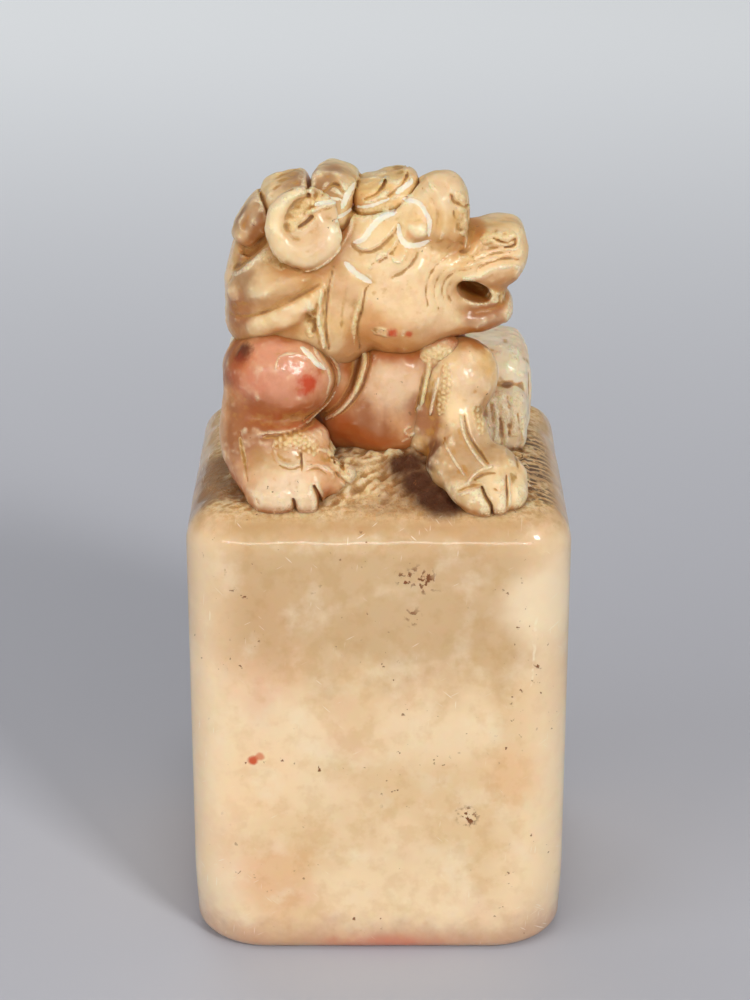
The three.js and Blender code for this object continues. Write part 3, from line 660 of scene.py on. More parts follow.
        stone.score("side", slit, 0.24, 0.45, side)
    frame_line = [(-5.5, 14.6), (-4.4, 14.7), (-3.12, 15.4), (-2.17, 16.4), (-1.75, 17.4), (-2.0, 18.1)]
    stone.score("side", frame_line, 0.22, -0.26, both_sides=True)

    # The crest: curls on the midline from the brow to the nape, flat where the knife has topped them.
    for centre, halves, lean, turn, slant in (
        ((-7.9, -3.1, 16.95), (1.8, 2.3, 1.1), 58, 0, 0.1),
        ((-5.7, -2.9, 18.25), (1.75, 2.55, 1.55), 16, 8, 0.3),
        ((-2.95, -2.9, 18.5), (1.6, 2.6, 1.85), -14, -8, 0.3),
        ((0.35, -2.7, 18.75), (2.25, 2.2, 1.1), 14, 6, 0.3),
    ):
        stone.add(egg(centre, halves, 3.4, lean, turn, slant), 0.05, 0.09, 0.25)
    for path in ([(-6.9, 18.9), (-6.1, 19.6), (-5.0, 19.7)], [(-4.1, 19.2), (-3.4, 20.0), (-2.4, 19.6)],
                 [(-1.2, 18.9), (-0.2, 19.3), (1.2, 19.5)], [(-8.7, 16.9), (-8.1, 17.9), (-7.6, 18.4)],
                 [(-1.3, 19.6), (0.0, 20.1), (1.6, 20.0)]):
        stone.score("side", path, 0.4, 0.16)
        stone.roughen_near("side", path, 0.9, 0.06, 115)
    for path in ([(-4.4, 20.6), (-4.5, 19.9), (-4.4, 19.2)], [(-3.6, 19.3), (-2.8, 19.7), (-2.1, 19.2)],
                 [(-1.0, 18.7), (-0.1, 19.1), (0.5, 19.7)], [(0.5, 18.9), (1.3, 19.4), (1.9, 20.0)]):
        stone.score("side", path, 0.2, 0.3)

    # Locks of the mane: two rounded ones on each side that sweep back below a flat, lower one.
    stone.step("side", [(-9.9, 13.7), (-9.04, 14.3), (-8.23, 15.1), (-7.0, 16.2)], 0.5, 2.2, both_sides=True)
    upper = laid_on(MANE, [(-4.1, 14.4), (-5.6, 14.1), (-7.2, 13.55), (-8.5, 12.9)], -0.36)
    lower = laid_on(MANE, [(-3.2, 13.9), (-4.6, 12.5), (-6.2, 11.5), (-7.9, 10.7), (-8.9, 10.4)], -0.3)
    upper += [on_back(MANE, aside, 0.06) for aside in (-0.6, -0.2)]
    lower += [on_back(MANE, aside, -0.38) for aside in (-0.6, -0.2)]
    upper_widths = [0.5, 1.15, 1.15, 1.0, 0.9, 0.6]
    lower_widths = [0.35, 0.8, 0.95, 0.9, 0.8, 0.8, 0.5]
    stone.add(strand(upper, upper_widths, 0.7, away_from(MANE), 2.4), 0.25, mirrored=True)
    stone.add(strand(lower, lower_widths, 0.8, away_from(MANE), 2.2), 0.12, mirrored=True)
    parting = [(-3.6, 13.9), (-4.57, 13.25), (-6.18, 12.35), (-7.94, 11.6), (-9.8, 11.2)]
    stone.score("side", parting, 0.16, 0.14, both_sides=True)
    stone.score("side", [(-4.6, 13.9), (-6.2, 13.3), (-7.8, 12.6), (-9.4, 12.1)], 0.4, 0.1, both_sides=True)
    stone.cut(egg((-4.3, -7.6, 11.2), (0.55, 0.9, 0.9), 2, 20), 0.3, mirrored=True)
    stone.crumble("side", [(-4.15, 12.3), (-4.3, 11.3), (-4.4, 10.2)], 0.5, 0.1, 109, both_sides=True)
    stone.crumble("side", [(-7.5, 15.5), (-6.6, 15.3), (-5.9, 14.8)], 0.6, 0.04, 111, both_sides=True)
    for aside in (-0.3, 0, 0.3):
        laid = [on_back(MANE, aside, u) for u in (0.71, 0.25, -0.22, -0.62)]
        stone.add(strand(laid, [0.6, 0.95, 0.95, 0.6], 0.5, away_from(MANE), 2.3), 0.2)

    # The ruff behind the cheek: a flat band between two lines, with a bead along its back edge.
    for half_width, depth, flat, path in (
        (0.14, 0.24, 1.0, [(-2.85, 14.95), (-3.13, 13.7), (-3.3, 12.34), (-3.38, 11.0), (-3.2, 9.2)]),
        (0.22, -0.3, 1.4, [(-3.62, 13.5), (-3.72, 12.4), (-3.84, 11.3), (-3.63, 10.3), (-3.5, 9.3)]),
        (0.15, 0.2, 1.0, [(-0.3, 13.85), (-0.85, 13.3), (-1.05, 12.0), (-1.35, 10.7), (-1.2, 8.7)]),
        (0.18, -0.12, 1.0, [(-0.95, 13.3), (-1.4, 11.9), (-1.65, 10.8), (-1.55, 9.2)]),
        (0.3, 0.08, 1.0, [(-2.0, 13.6), (-2.3, 12.2), (-2.4, 10.6)]),
    ):
        stone.score("side", path, half_width, depth, both_sides=True, flat=flat)
    stone.crumble("side", [(-1.15, 12.6), (-1.45, 11.4), (-1.6, 10.2)], 0.35, 0.03, 121, both_sides=True)
    stone.cut(egg((0.25, -7.05, 10.35), (0.22, 0.35, 0.2)), 0.15)
    stone.crumble("side", [(-0.4, 10.5), (0.2, 10.5), (0.6, 10.2)], 0.45, 0.07, 123)

    for half_width, path in WHITE_LINES:
        stone.score("side", path, half_width, 0.12, both_sides=True, flat=1.8, mark="white_line")
    stone.roughen(1.7, 0.1, 11)
    stone.roughen(0.7, 0.055, 12)
    stone.roughen(0.3, 0.022, 13)
    return stone


def carved_body():
    """The chest, back and rump, with the straps that frame the chest, the chin's tuft and the tail."""
    stone = Carving((-7.2, -7.6, -1.2), (7.2, 12.6, 12.2), 0.125)
    ribs = [(-3.2, 0.6, 5.0, 4.4, 5.0), (0, 0.2, 5.6, 5.9, 5.6), (4, 0, 4.8, 6.4, 4.8),
            (7.6, 0, 4.15, 5.7, 4.15), (10, 0, 3.1, 3.4, 3.1)]
    stone.add(loft(1, ribs, -5.0, 10.9))
    stone.add(egg((1.0, -3.5, 5.0), (3.1, 3.05, 4.3), 2.4), 0.8)
    stone.add(egg((-0.9, -3.6, 4.2), (2.9, 2.8, 2.9)), 1.2)
    stone.add(egg((3.8, -4.6, 4.2), (1.5, 1.75, 4.0)), 0.9)
    stone.add(egg((-2.7, -4.2, 5.4), (1.5, 1.8, 3.6)), 0.7)
    right_strap = [(-1.4, 9.2), (-0.95, 8.3), (-1.18, 7.2), (-1.6, 6.15), (-2.6, 4.95), (-3.5, 4.3)]
    left_strap = [(3.3, 8.6), (3.2, 7.4), (2.95, 6.2), (2.7, 4.9)]
    stone.step("side", [(x - 0.25, h) for x, h in right_strap[::-1]], 0.45, 1.3, (-9, -2))
    stone.score("side", right_strap, 0.27, -0.32, (-9, -2), flat=1.3)
    stone.crumble("side", right_strap[:4], 0.3, 0.05, 205, (-9, -2))
    stone.score("side", [(x + 0.4, h + 0.1) for x, h in right_strap], 0.16, 0.24, (-9, -2))
    stone.score("side", left_strap, 0.2, -0.26, (-9, -2), flat=1.2)
    stone.crumble("side", left_strap, 0.26, 0.05, 207, (-9, -2))
    stone.score("side", [(x - 0.3, h) for x, h in left_strap], 0.16, 0.2, (-9, -2))
    stone.step("side", [(x + 0.2, h) for x, h in left_strap], 0.3, 0.9, (-9, -2))
    stone.score("side", [(x + 0.62, h) for x, h in left_strap[:2]], 0.18, -0.26, (-9, -2))
    stone.add(egg((3.9, -4.7, 8.5), (1.5, 1.35, 1.3), 2.4), 0.6)
    stone.bead("side", [(2.7, 8.5), (3.6, 8.8), (4.8, 8.9)], 0.8, 0.08, 0.36, 201, (-9, -3))
    for path in ([(2.2, 4.0), (1.7, 3.75), (1.9, 3.4), (2.4, 3.5)], [(1.5, 2.9), (2.2, 3.3), (2.8, 4.0)]):
        stone.score("side", path, 0.16, -0.18, (-9, -4))
    for widths, path in (
        ([0.9, 1.5, 1.3, 0.7], [(0, 11.1, 1.2), (0, 11.3, 4), (0, 10.3, 7), (0, 8.7, 9.2)]),
        ([0.7, 1.15, 1.0, 0.6], [(0.8, 11.2, 1.1), (2.3, 10.9, 3.4), (3.4, 9.9, 5.8), (4.3, 8.5, 7.6)]),
        ([0.7, 1.15, 1.0, 0.6], [(-0.8, 11.2, 1.1), (-2.3, 10.9, 3.4), (-3.4, 9.9, 5.8), (-4.3, 8.5, 7.6)]),
    ):
        stone.add(strand(path, widths, 0.9, (0, 1, 0.4), 2.3), 0.08, 0.15, 0.3)
    stone.score("top", [(0, 2.5), (0.1, 5), (-0.05, 7.5)], 0.35, 0.25, (4, 13))
    for way in (-1, 1):
        for i in range(4):
            back = 2.8 + 1.5 * i
            rib = [(way * 0.6, back), (way * 2.4, back + 0.5), (way * 4.6, back + 1.5)]
            stone.score("top", rib, 0.3, 0.2, (4, 13))
    stone.roughen(1.9, 0.14, 21)
    stone.roughen(0.8, 0.05, 22)
    stone.roughen(0.3, 0.02, 23)
    stone.trim(SOLE)
    return stone


def carved_right_foreleg():
    """The foreleg below the mane: a round shoulder that runs down into a thick leg, a rough tuft at the
    elbow and a broad paw with its toes close together."""
    stone = Carving((-11.4, -12.6, -1.8), (-0.4, -0.6, 11.6), 0.085)
    leg = [(-8.0, -5.2, 6.2), (-8.2, -6.2, 3.8), (-7.8, -7.2, 1.6)]
    stone.add(strand(leg, [2.15, 2.15, 2.2], 2.15, (0, -1, 0)))
    stone.add(egg((-6.3, -6.9, 2.9), (3.2, 2.3, 2.0), 2.4), 0.8)
    stone.add(egg((-5.8, -7.9, 1.2), (3.4, 2.6, 1.7), 2.5), 0.8)
    stone.add(egg((-6.75, -9.4, 0.4), (1.7, 1.7, 1.25), 2.4), 0.6)
    stone.add(egg((-4.6, -9.45, 0.4), (0.98, 1.55, 1.35), 2.6), 0.5)
    stone.add(egg((-3.2, -8.3, 0.7), (0.75, 1.2, 0.95), 2.2, 0, 20), 0.3)
    stone.add(egg((-2.4, -8.2, 1.25), (0.95, 0.95, 0.8), 2, 12, 40), 0.3)
    stone.add(egg((-5.8, -8.0, 2.9), (0.95, 1.3, 0.8), 2, -20), 0.5)
    stone.add(egg((-4.4, -7.9, 2.75), (0.9, 1.3, 0.85), 2, 20), 0.5)
    stone.add(egg((-6.4, -5.0, 7.3), (3.8, 3.75, 3.35)), 0.9)
    stone.step("side", [(-3.2, 5.2), (-4.58, 4.55), (-6.2, 4.2), (-7.6, 4.1)], 0.28, 0.9, (-12, -4))

    # The tuft at the elbow, and the lines of the leg and between the toes.
    tuft = [(-6.8, 3.6), (-6.0, 3.85), (-5.2, 3.9), (-4.5, 3.6), (-3.9, 3.1)]
    stone.bead("side", tuft, 0.68, 0.075, 0.3, 301, (-12, -7.9))
    stone.crumble("side", [(-3.2, 3.2), (-2.6, 2.3), (-2.1, 1.6)], 0.5, 0.08, 303, (-12, -5.5))
    stone.crumble("side", [(-8.95, 4.0), (-8.75, 3.0), (-8.6, 2.2)], 0.24, 0.03, 305, (-12, -6))
    for path, half_width, depth in (
        ([(-6.8, 3.6), (-6.55, 2.9), (-6.0, 2.6), (-5.3, 2.6), (-4.95, 2.95)], 0.15, -0.1),
        ([(-6.4, 2.55), (-5.6, 2.35), (-5.0, 2.5)], 0.13, 0.14),
        ([(-4.9, 3.2), (-4.7, 2.6), (-3.9, 2.55), (-3.2, 2.2), (-2.7, 1.6)], 0.14, -0.1),
        ([(-3.9, 3.4), (-3.1, 2.8), (-2.5, 2.0)], 0.18, -0.2),
        ([(-4.7, 2.3), (-3.9, 2.3), (-3.3, 1.9)], 0.13, 0.14),
        ([(-5.0, 3.2), (-4.95, 2.6), (-4.9, 2.2)], 0.13, 0.16),
        ([(-8.99, 4.32), (-8.74, 2.83), (-8.4, 1.4)], 0.18, 0.12),
        ([(-5.5, 0.75), (-5.4, 0.2), (-5.35, -0.9)], 0.2, 0.36),
        ([(-4.2, 1.5), (-3.85, 0.6), (-3.7, -0.9)], 0.22, 0.45),
        ([(-7.85, 0.6), (-7.65, 0.25)], 0.1, 0.14),
        ([(-2.9, 1.9), (-2.2, 1.2), (-1.9, 0.7)], 0.14, 0.24),
        ([(-2.5, 2.1), (-1.8, 1.5)], 0.14, 0.2),
    ):
        stone.score("side", path, half_width, depth, (-12, -5))

    # The raised rim in front of the shoulder.
    rim = [(-4.5, 10.5), (-3.56, 9.45), (-2.8, 8.27), (-2.5, 7.24), (-2.75, 6.2), (-3.4, 5.3), (-4.7, 4.7)]
    stone.score("side", rim, 0.17, -0.26, (-9, -2))
    stone.score("side", [(x - 0.34, h) for x, h in rim], 0.15, 0.2, (-9, -2))
    stone.score("side", [(x - 0.62, h + 0.05) for x, h in rim[1:5]], 0.16, -0.12, (-9, -2))
    stone.score("side", [(-6.6, 8.6), (-6.3, 9.3), (-5.3, 9.4), (-4.3, 9.0)], 0.13, -0.1, (-9.5, -5))
    # A white streak across the shoulder, raised a little and coloured white: a painted highlight.
    nick = [(-5.0, 9.7), (-4.4, 9.2), (-3.9, 8.6), (-3.4, 8.1)]
    stone.score("side", nick, 0.2, -0.14, (-9.5, -4), mark="white_line")
    stone.roughen(1.8, 0.13, 31)
    stone.roughen(0.7, 0.055, 32)
    stone.roughen(0.28, 0.02, 33)
    stone.trim(SOLE)
    return stone


def carved_left_foreleg():
    """The foreleg below the chin: a ball of a shoulder, a ridged leg and a paw with pointed claws."""
    stone = Carving((1.2, -12.6, -1.8), (11.4, -1.0, 11.0), 0.085)
    leg = strand([(5.2, -5.0, 6.6), (5.3, -6.2, 4.3), (5.8, -7.2, 2.4)], [1.7, 1.6, 1.95], 1.75, (0, -1, 0))
    stone.add(leg)
    stone.add(egg((3.5, -5.0, 3.4), (1.7, 1.6, 3.8), 2.2), 1.0)
    stone.add(egg((4.9, -7.6, 1.6), (1.75, 1.9, 2.1)), 0.9)
    stone.add(egg((6.7, -7.8, 1.3), (2.5, 2.4, 1.75), 2.5), 0.7)
    for depth, widths, path in (
        (1.0, [1.3, 1.3, 1.1, 0.55],
         [(5.3, -8.6, 1.4), (5.9, -10.1, 0.8), (6.5, -10.8, 0.25), (6.95, -11.1, -0.3)]),
        (0.95, [1.05, 1.0, 0.85, 0.45],
         [(8.5, -7.8, 1.6), (8.7, -9.0, 0.95), (8.7, -9.8, 0.4), (8.6, -10.3, -0.1)]),
        (0.9, [1.0, 1.0, 0.85, 0.45],
         [(7.2, -8.4, 1.9), (7.5, -9.8, 1.15), (7.65, -10.5, 0.45), (7.75, -10.9, -0.2)]),
    ):
        stone.add(strand(path, widths, depth, (0, -0.6, 0.8), 2.2), 0.3)
    stone.add(egg((7.3, -9.3, 0.55), (2.0, 1.7, 1.2), 2.2), 0.5)
    stone.add(egg((5.4, -4.6, 6.75), (2.35, 2.7, 2.7)), 0.5)
    ridge = [(5.25, 5.2), (5.5, 4.1), (6.05, 3.2), (6.9, 2.45)]
    stone.bead("side", [(6.3, 5.7), (6.5, 4.8), (6.75, 3.9)], 0.45, 0.07, 0.28, 401, (-9, -3))
    stone.bead("side", [(4.3, 8.3), (4.35, 7.2), (4.1, 6.0), (3.9, 5.0)], 0.5, 0.06, 0.3, 403, (-9, -3))
    for path, half_width, depth in (
        (ridge, 0.14, -0.24),
        ([(x + 0.24, h + 0.08) for x, h in ridge], 0.13, 0.14),
        ([(4.13, 3.68), (4.7, 2.94), (5.49, 1.97)], 0.14, -0.2),
        ([(4.3, 3.85), (4.2, 3.5), (4.45, 3.4)], 0.12, 0.16),
        ([(5.6, 1.6), (6.3, 2.2), (7.3, 2.55)], 0.16, -0.2),
        ([(6.1, 1.75), (6.8, 2.05), (7.6, 2.15)], 0.12, 0.12),
        ([(5.0, 1.15), (5.7, 1.5), (6.5, 1.55), (6.75, 1.2)], 0.14, 0.16),
        ([(5.1, 0.95), (5.7, 1.3), (6.4, 1.4)], 0.13, -0.16),
        ([(6.55, 1.5), (6.85, 0.9), (7.15, 0.4), (7.25, -0.2), (7.5, -0.9)], 0.17, 0.42),
        ([(7.3, 1.4), (7.7, 1.2), (8.0, 1.5)], 0.12, 0.12),
        ([(8.15, 1.95), (8.2, 0.9), (8.2, 0.0)], 0.13, 0.22),
        ([(8.35, 1.9), (8.4, 0.9), (8.4, 0.1)], 0.12, -0.1),
        ([(8.3, 2.9), (8.8, 2.6), (9.0, 2.0)], 0.16, 0.16),
        ([(x + 0.62, h) for x, h in ((3.2, 7.4), (2.95, 6.2), (2.7, 4.9))], 0.18, -0.26),
    ):
        stone.score("side", path, half_width, depth, (-12.5, -4.5))
    stone.roughen(1.6, 0.13, 41)
    stone.roughen(0.7, 0.06, 42)
    stone.roughen(0.28, 0.02, 43)
    stone.trim(SOLE)
    return stone


def carved_hind_leg(way, seed):
    """A hind leg: a squared haunch, and a rough shank and paw that look out beside the foreleg."""
    low = (-11.2, -3.2, -1.2) if way < 0 else (3.2, -3.2, -1.2)
    high = (-3.2, 10.4, 8.0) if way < 0 else (11.2, 10.4, 8.0)
    stone = Carving(low, high, 0.1)
    stone.add(egg((way * 7.6, 5.1, 3.0), (2.9, 4.2, 3.55), 3.8))
    stone.add(egg((way * 8.4, 1.3, 1.9), (1.75, 2.0, 2.4), 3.0), 0.25)
    stone.cut(flat_chip((way * 9.9, 1.2, 6.2), (way * 0.6, -0.4, 0.7), 1.5), 0.15)
    for x, upper, lower, depth in (
        (7.5, 3.6, 0.6, 0.1),
        (8.15, 2.6, -0.6, 0.14),
        (8.7, 3.9, 1.0, 0.08),
        (9.35, 2.9, -0.6, 0.12),
    ):
        rib = [(way * x, upper), (way * (x + 0.2), (upper + lower) / 2), (way * (x + 0.05), lower)]
        stone.score("side", rib, 0.2, depth, (-4, 1))
        stone.score("side", [(a + 0.3 * way, h) for a, h in rib], 0.18, -depth, (-4, 1))
    thigh = [(way * 10.4, 8.0), (way * 10.6, 4.4), (way * 9.6, 2.0)]
    outer = (9, 12) if way > 0 else (-12, -9)
    for path in ([(8.6, 1.2), (8.0, 3.6), (6.0, 5.0), (3.8, 4.4), (3.2, 2.8), (4.2, 1.8), (5.4, 2.4)],
                 [(7.6, 0.6), (6.9, 2.2), (5.8, 3.4)], [(2.6, 4.6), (2.2, 3.0), (2.6, 1.4)]):
        stone.score("end", path, 0.24, 0.2, outer)
    stone.score("top", thigh, 0.3, 0.1, (1, 7))
    knee = [(way * 7.2, 3.9), (way * 8.4, 3.7), (way * 9.6, 3.3)]
    shank = [(way * 7.6, 4.2), (way * 8.6, 2.8), (way * 9.4, 1.2)]
    stone.bead("side", knee, 0.7, 0.12, 0.7, seed + 7, (-4, 1))
    stone.crumble("side", shank, 1.7, 0.035, seed + 5, (-4, 1.2))
    stone.roughen(1.4, 0.13, seed)
    stone.roughen(0.5, 0.05, seed + 1)
    stone.trim(SOLE)
    return stone


def ground_relief(x, y):
    """The height of the carved ground: a slope that rises to the chest between the paws, and strokes of the
    knife across it that fade out at the polished rim."""
    rise = np.clip((y + 11.0) / 4.6, 0, 1)
    rise = rise * rise * (3 - 2 * rise)
    across = np.clip(1 - ((x - 0.6) / 5.2) ** 4, 0, 1)
    behind = np.clip((2.0 - y) / 4.0, 0, 1)
    mound = 2.1 * rise * across * behind
    inside = np.clip((11.5 - np.maximum(np.abs(x), np.abs(y))) / 1.8, 0, 1)
    axis = np.linspace(-20, 20, 801, dtype=np.float32)
    coarse = uneven([axis, axis], 1.7, 51)
    fine = uneven([axis, axis], 0.45, 52)
    strokes = 1 - 2 * np.abs(uneven([axis * 0.3, axis], 0.4, 54))
    found = 0
    layers = ((coarse, 0.2, 0.0), (fine, 0.15, 0.0), (strokes, 0.08, 0.6), (fine, 0.1, 0.8))
    for table, share, turn in layers:
        u = x * math.cos(turn) + y * math.sin(turn)
        v = y * math.cos(turn) - x * math.sin(turn)
        i = np.clip(((u + 20) * 20).astype(int), 0, 800)
        j = np.clip(((v + 20) * 20).astype(int), 0, 800)
        found = found + share * table[i, j]
    return inside * (mound + found)


def rounded_square(half, radius, share):
    """Places round a square with rounded corners, share being how far round they are, from 0 to 1."""
    straight = 2 * (half - radius)
    arc = math.pi * radius / 2
    gone = (share * 4) % 1 * (straight + arc)
    quarter = np.floor(share * 4).astype(int) % 4
    turn = np.clip((gone - straight / 2) / arc, 0, 1) * math.pi / 2
    past = np.clip(gone - straight / 2 - arc, 0, None)
    across = np.where(gone < straight / 2, gone, straight / 2 + radius * np.sin(turn))
    out = half - radius + radius * np.cos(turn)
    out = out - past
    angle = quarter * math.pi / 2
    return out * np.cos(angle) - across * np.sin(angle), out * np.sin(angle) + across * np.cos(angle)


def block_surface():
    """The block as one grid: rounded squares stacked from the middle of the seal face, out and up the sides,
    over the top edge and in to the middle of the carved ground. Lower corners are worn rounder."""
    around = 560
    turn = np.linspace(0, math.pi / 2, 9)
    rise = np.linspace(0, math.pi / 2, 17)
    climb = np.linspace(SEAL_EDGE, GROUND - TOP_EDGE, 34)[1:-1]
    inwards = np.linspace(TOP_EDGE, BLOCK_HALF - 0.08, 78)[1:]
    insets = [
        np.linspace(BLOCK_HALF - 0.2, SEAL_EDGE, 8)[:-1],
        SEAL_EDGE * (1 - np.sin(turn)),
        np.zeros(len(climb)),
        TOP_EDGE * (1 - np.cos(rise)),
        inwards,
    ]
    heights = [
        np.zeros(7),
        SEAL_EDGE * (1 - np.cos(turn)),
        climb,
        GROUND - TOP_EDGE * (1 - np.sin(rise)),
        np.full(len(inwards), GROUND),
    ]
    inset, height = np.concatenate(insets), np.concatenate(heights)
    share = np.arange(around) / around
    rows = []
    for a, h in zip(inset, height):
        worn = np.clip(1 - h / WEAR_HEIGHT, 0, 1)
        radius = UPRIGHT_EDGE + FOOT_WEAR * worn * worn * (3 - 2 * worn) - a
        half = BLOCK_HALF - a
        x, y = rounded_square(half, min(max(radius, 0.22 * half), half), share)
        rows.append(np.stack([x, y, np.full(around, h)], axis=1))
    grid = np.array(rows)
    x, y, z = grid[..., 0], grid[..., 1], grid[..., 2]
    level = z >= GROUND - 1e-6
    z = z + np.where(level, ground_relief(x, y), 0)
    axis = np.linspace(-14, 14, 281, dtype=np.float32)
    waves = uneven([axis, axis], 3.2, 56) + 0.5 * uneven([axis, axis], 1.3, 57)
    waves = waves[((x + 14) * 10).astype(int), ((y + 14) * 10).astype(int)]
    near_top = np.clip((z - GROUND + 4.5) / 2.5, 0, 1) * np.clip((GROUND - z) / 0.5, 0, 1)
    z = z + np.where(level, 0, 0.16 * waves * near_top)
    places = np.stack([x, y, z], axis=-1).reshape(-1, 3)
    ends = np.array([[0, 0, 0], [0, 0, float(z[-1].mean())]])
    count = len(inset)
    i, j = np.meshgrid(np.arange(count - 1), np.arange(around), indexing="ij")
    k = (j + 1) % around
    quads = np.stack([i * around + j, i * around + k, (i + 1) * around + k, (i + 1) * around + j], axis=-1)
    j = np.arange(around)
    k = (j + 1) % around
    foot = np.stack([np.full(around, len(places)), k, j], axis=1)
    last = (count - 1) * around
    crown = np.stack([np.full(around, len(places) + 1), last + j, last + k], axis=1)
    return np.vstack([places, ends]), quads.reshape(-1, 4), np.vstack([foot, crown])


def new_piece(name, places, quads, triangles, marks):
    """A smooth mesh from places in millimetres, its faces and a value for each vertex under each mark."""
    mesh = bpy.data.meshes.new(name)
    mesh.vertices.add(len(places))
    mesh.vertices.foreach_set("co", (places * MM).astype(np.float32).ravel())
    corners = np.concatenate([quads.ravel(), triangles.ravel()]).astype(np.int32)
    mesh.loops.add(len(corners))
    mesh.loops.foreach_set("vertex_index", corners)
    starts = np.concatenate([np.arange(len(quads)) * 4, 4 * len(quads) + np.arange(len(triangles)) * 3])
    mesh.polygons.add(len(starts))
    mesh.polygons.foreach_set("loop_start", starts.astype(np.int32))
    mesh.polygons.foreach_set("use_smooth", np.ones(len(starts), bool))
    mesh.update(calc_edges=True)
    for mark, values in marks.items():
        layer = mesh.attributes.new(mark, "FLOAT", "POINT")
        layer.data.foreach_set("value", np.asarray(values, np.float32))
    piece = bpy.data.objects.new(name, mesh)
    bpy.context.scene.collection.objects.link(piece)
    return piece


class Wire:
    """A node's output that takes part in sums: each operator adds a Math node to the tree being wired."""

    tree = None

    def __init__(self, socket):
        self.socket = socket

    @classmethod
    def make(cls, kind, settings=None, inputs=None, output=0):
        """Adds a node of a kind, gives it its settings, then its inputs by name or number."""
        node = cls.tree.nodes.new(kind)
        for name, value in (settings or {}).items():
            setattr(node, name, value)
        for key, value in (inputs or {}).items():
            if isinstance(value, Wire):
                cls.tree.links.new(value.socket, node.inputs[key])
            else:
                node.inputs[key].default_value = value
        return cls(node.outputs[output])

    def sum(self, operation, first, second):
        return Wire.make("ShaderNodeMath", {"operation": operation}, {0: first, 1: second})

    def __add__(self, other):
        return self.sum("ADD", self, other)

    __radd__ = __add__

    def __sub__(self, other):
        return self.sum("SUBTRACT", self, other)

    def __rsub__(self, other):
        return self.sum("SUBTRACT", other, self)

    def __mul__(self, other):
        return self.sum("MULTIPLY", self, other)

    __rmul__ = __mul__

    def __abs__(self):
        return Wire.make("ShaderNodeMath", {"operation": "ABSOLUTE"}, {0: self})

    def least(self, other):
        return self.sum("MINIMUM", self, other)

    def most(self, other):
        return self.sum("MAXIMUM", self, other)


def eased(value, low, high):
    """0 below low and 1 above high, with a smooth step between."""
    inputs = {"Value": value, "From Min": low, "From Max": high}
    return Wire.make("ShaderNodeMapRange", {"interpolation_type": "SMOOTHSTEP"}, inputs)


def blended(first, second, share):
    """One colour over another."""
    colour = lambda c: c if isinstance(c, Wire) else (*c, 1.0)
    inputs = {0: share, 6: colour(first), 7: colour(second)}
    return Wire.make("ShaderNodeMix", {"data_type": "RGBA"}, inputs, 2)


def dyed(colour, dye, share):
    """A colour multiplied by a dye, by a share."""
    inputs = {0: share, 6: colour, 7: (*dye, 1.0)}
    return Wire.make("ShaderNodeMix", {"data_type": "RGBA", "blend_type": "MULTIPLY"}, inputs, 2)


def in_millimetres():
    """Where a point of the surface is, in millimetres of the stone's own frame."""
    place = Wire.make("ShaderNodeTexCoord", output=3)
    return Wire.make("ShaderNodeVectorMath", {"operation": "MULTIPLY"}, {0: place, 1: (1 / MM,) * 3})


def cloud(place, size, detail=3.0, shift=0.0, stretch=(1.0, 1.0, 1.0)):
    """Soft noise with features about a size across, from 0 to 1."""
    inputs = {0: place, 1: stretch, 2: (shift,) * 3}
    scaled = Wire.make("ShaderNodeVectorMath", {"operation": "MULTIPLY_ADD"}, inputs)
    inputs = {"Vector": scaled, "Scale": 1 / size, "Detail": detail, "Roughness": 0.55}
    return Wire.make("ShaderNodeTexNoise", None, inputs)


def spot(place, centre, radius, ragged=None, edge=1.1):
    """1 at a centre and 0 beyond a radius, with a ragged edge."""
    away = Wire.make("ShaderNodeVectorMath", {"operation": "DISTANCE"}, {0: place, 1: centre}, 1)
    if ragged is not None:
        away = away + (ragged - 0.5) * (edge * radius)
    return 1 - eased(away, 0.35 * radius, radius)


def mark_of(name):
    """A value that the mesh carries at its vertices."""
    return Wire.make("ShaderNodeAttribute", {"attribute_name": name}, output=2)


def new_finish(name):
    """A material whose tree is empty, and is the one being wired."""
    finish = bpy.data.materials.new(name)
    finish.use_nodes = True
    finish.node_tree.nodes.clear()
    Wire.tree = finish.node_tree
    return finish


def surfaced(inputs):
    """Closes a tree with one shader, given its inputs, on the surface."""
    shader = Wire.make("ShaderNodeBsdfPrincipled", None, inputs)
    out = Wire.tree.nodes.new("ShaderNodeOutputMaterial")
    Wire.tree.links.new(shader.socket, out.inputs["Surface"])


def waxed(colour, roughness, coat, normal, gloss):
    """The stone's shader: light goes a little way in and comes out warmer, under a waxed polish."""
    surfaced({
        "Base Color": colour,
        "Roughness": roughness,
        "Coat Weight": coat,
        "Normal": normal,
        "Subsurface Weight": 0.6,
        "Subsurface Radius": (1.0, 0.5, 0.25),
        "Subsurface Scale": 0.0014,
        "Coat Roughness": gloss,
        "Specular IOR Level": 0.32,
    })


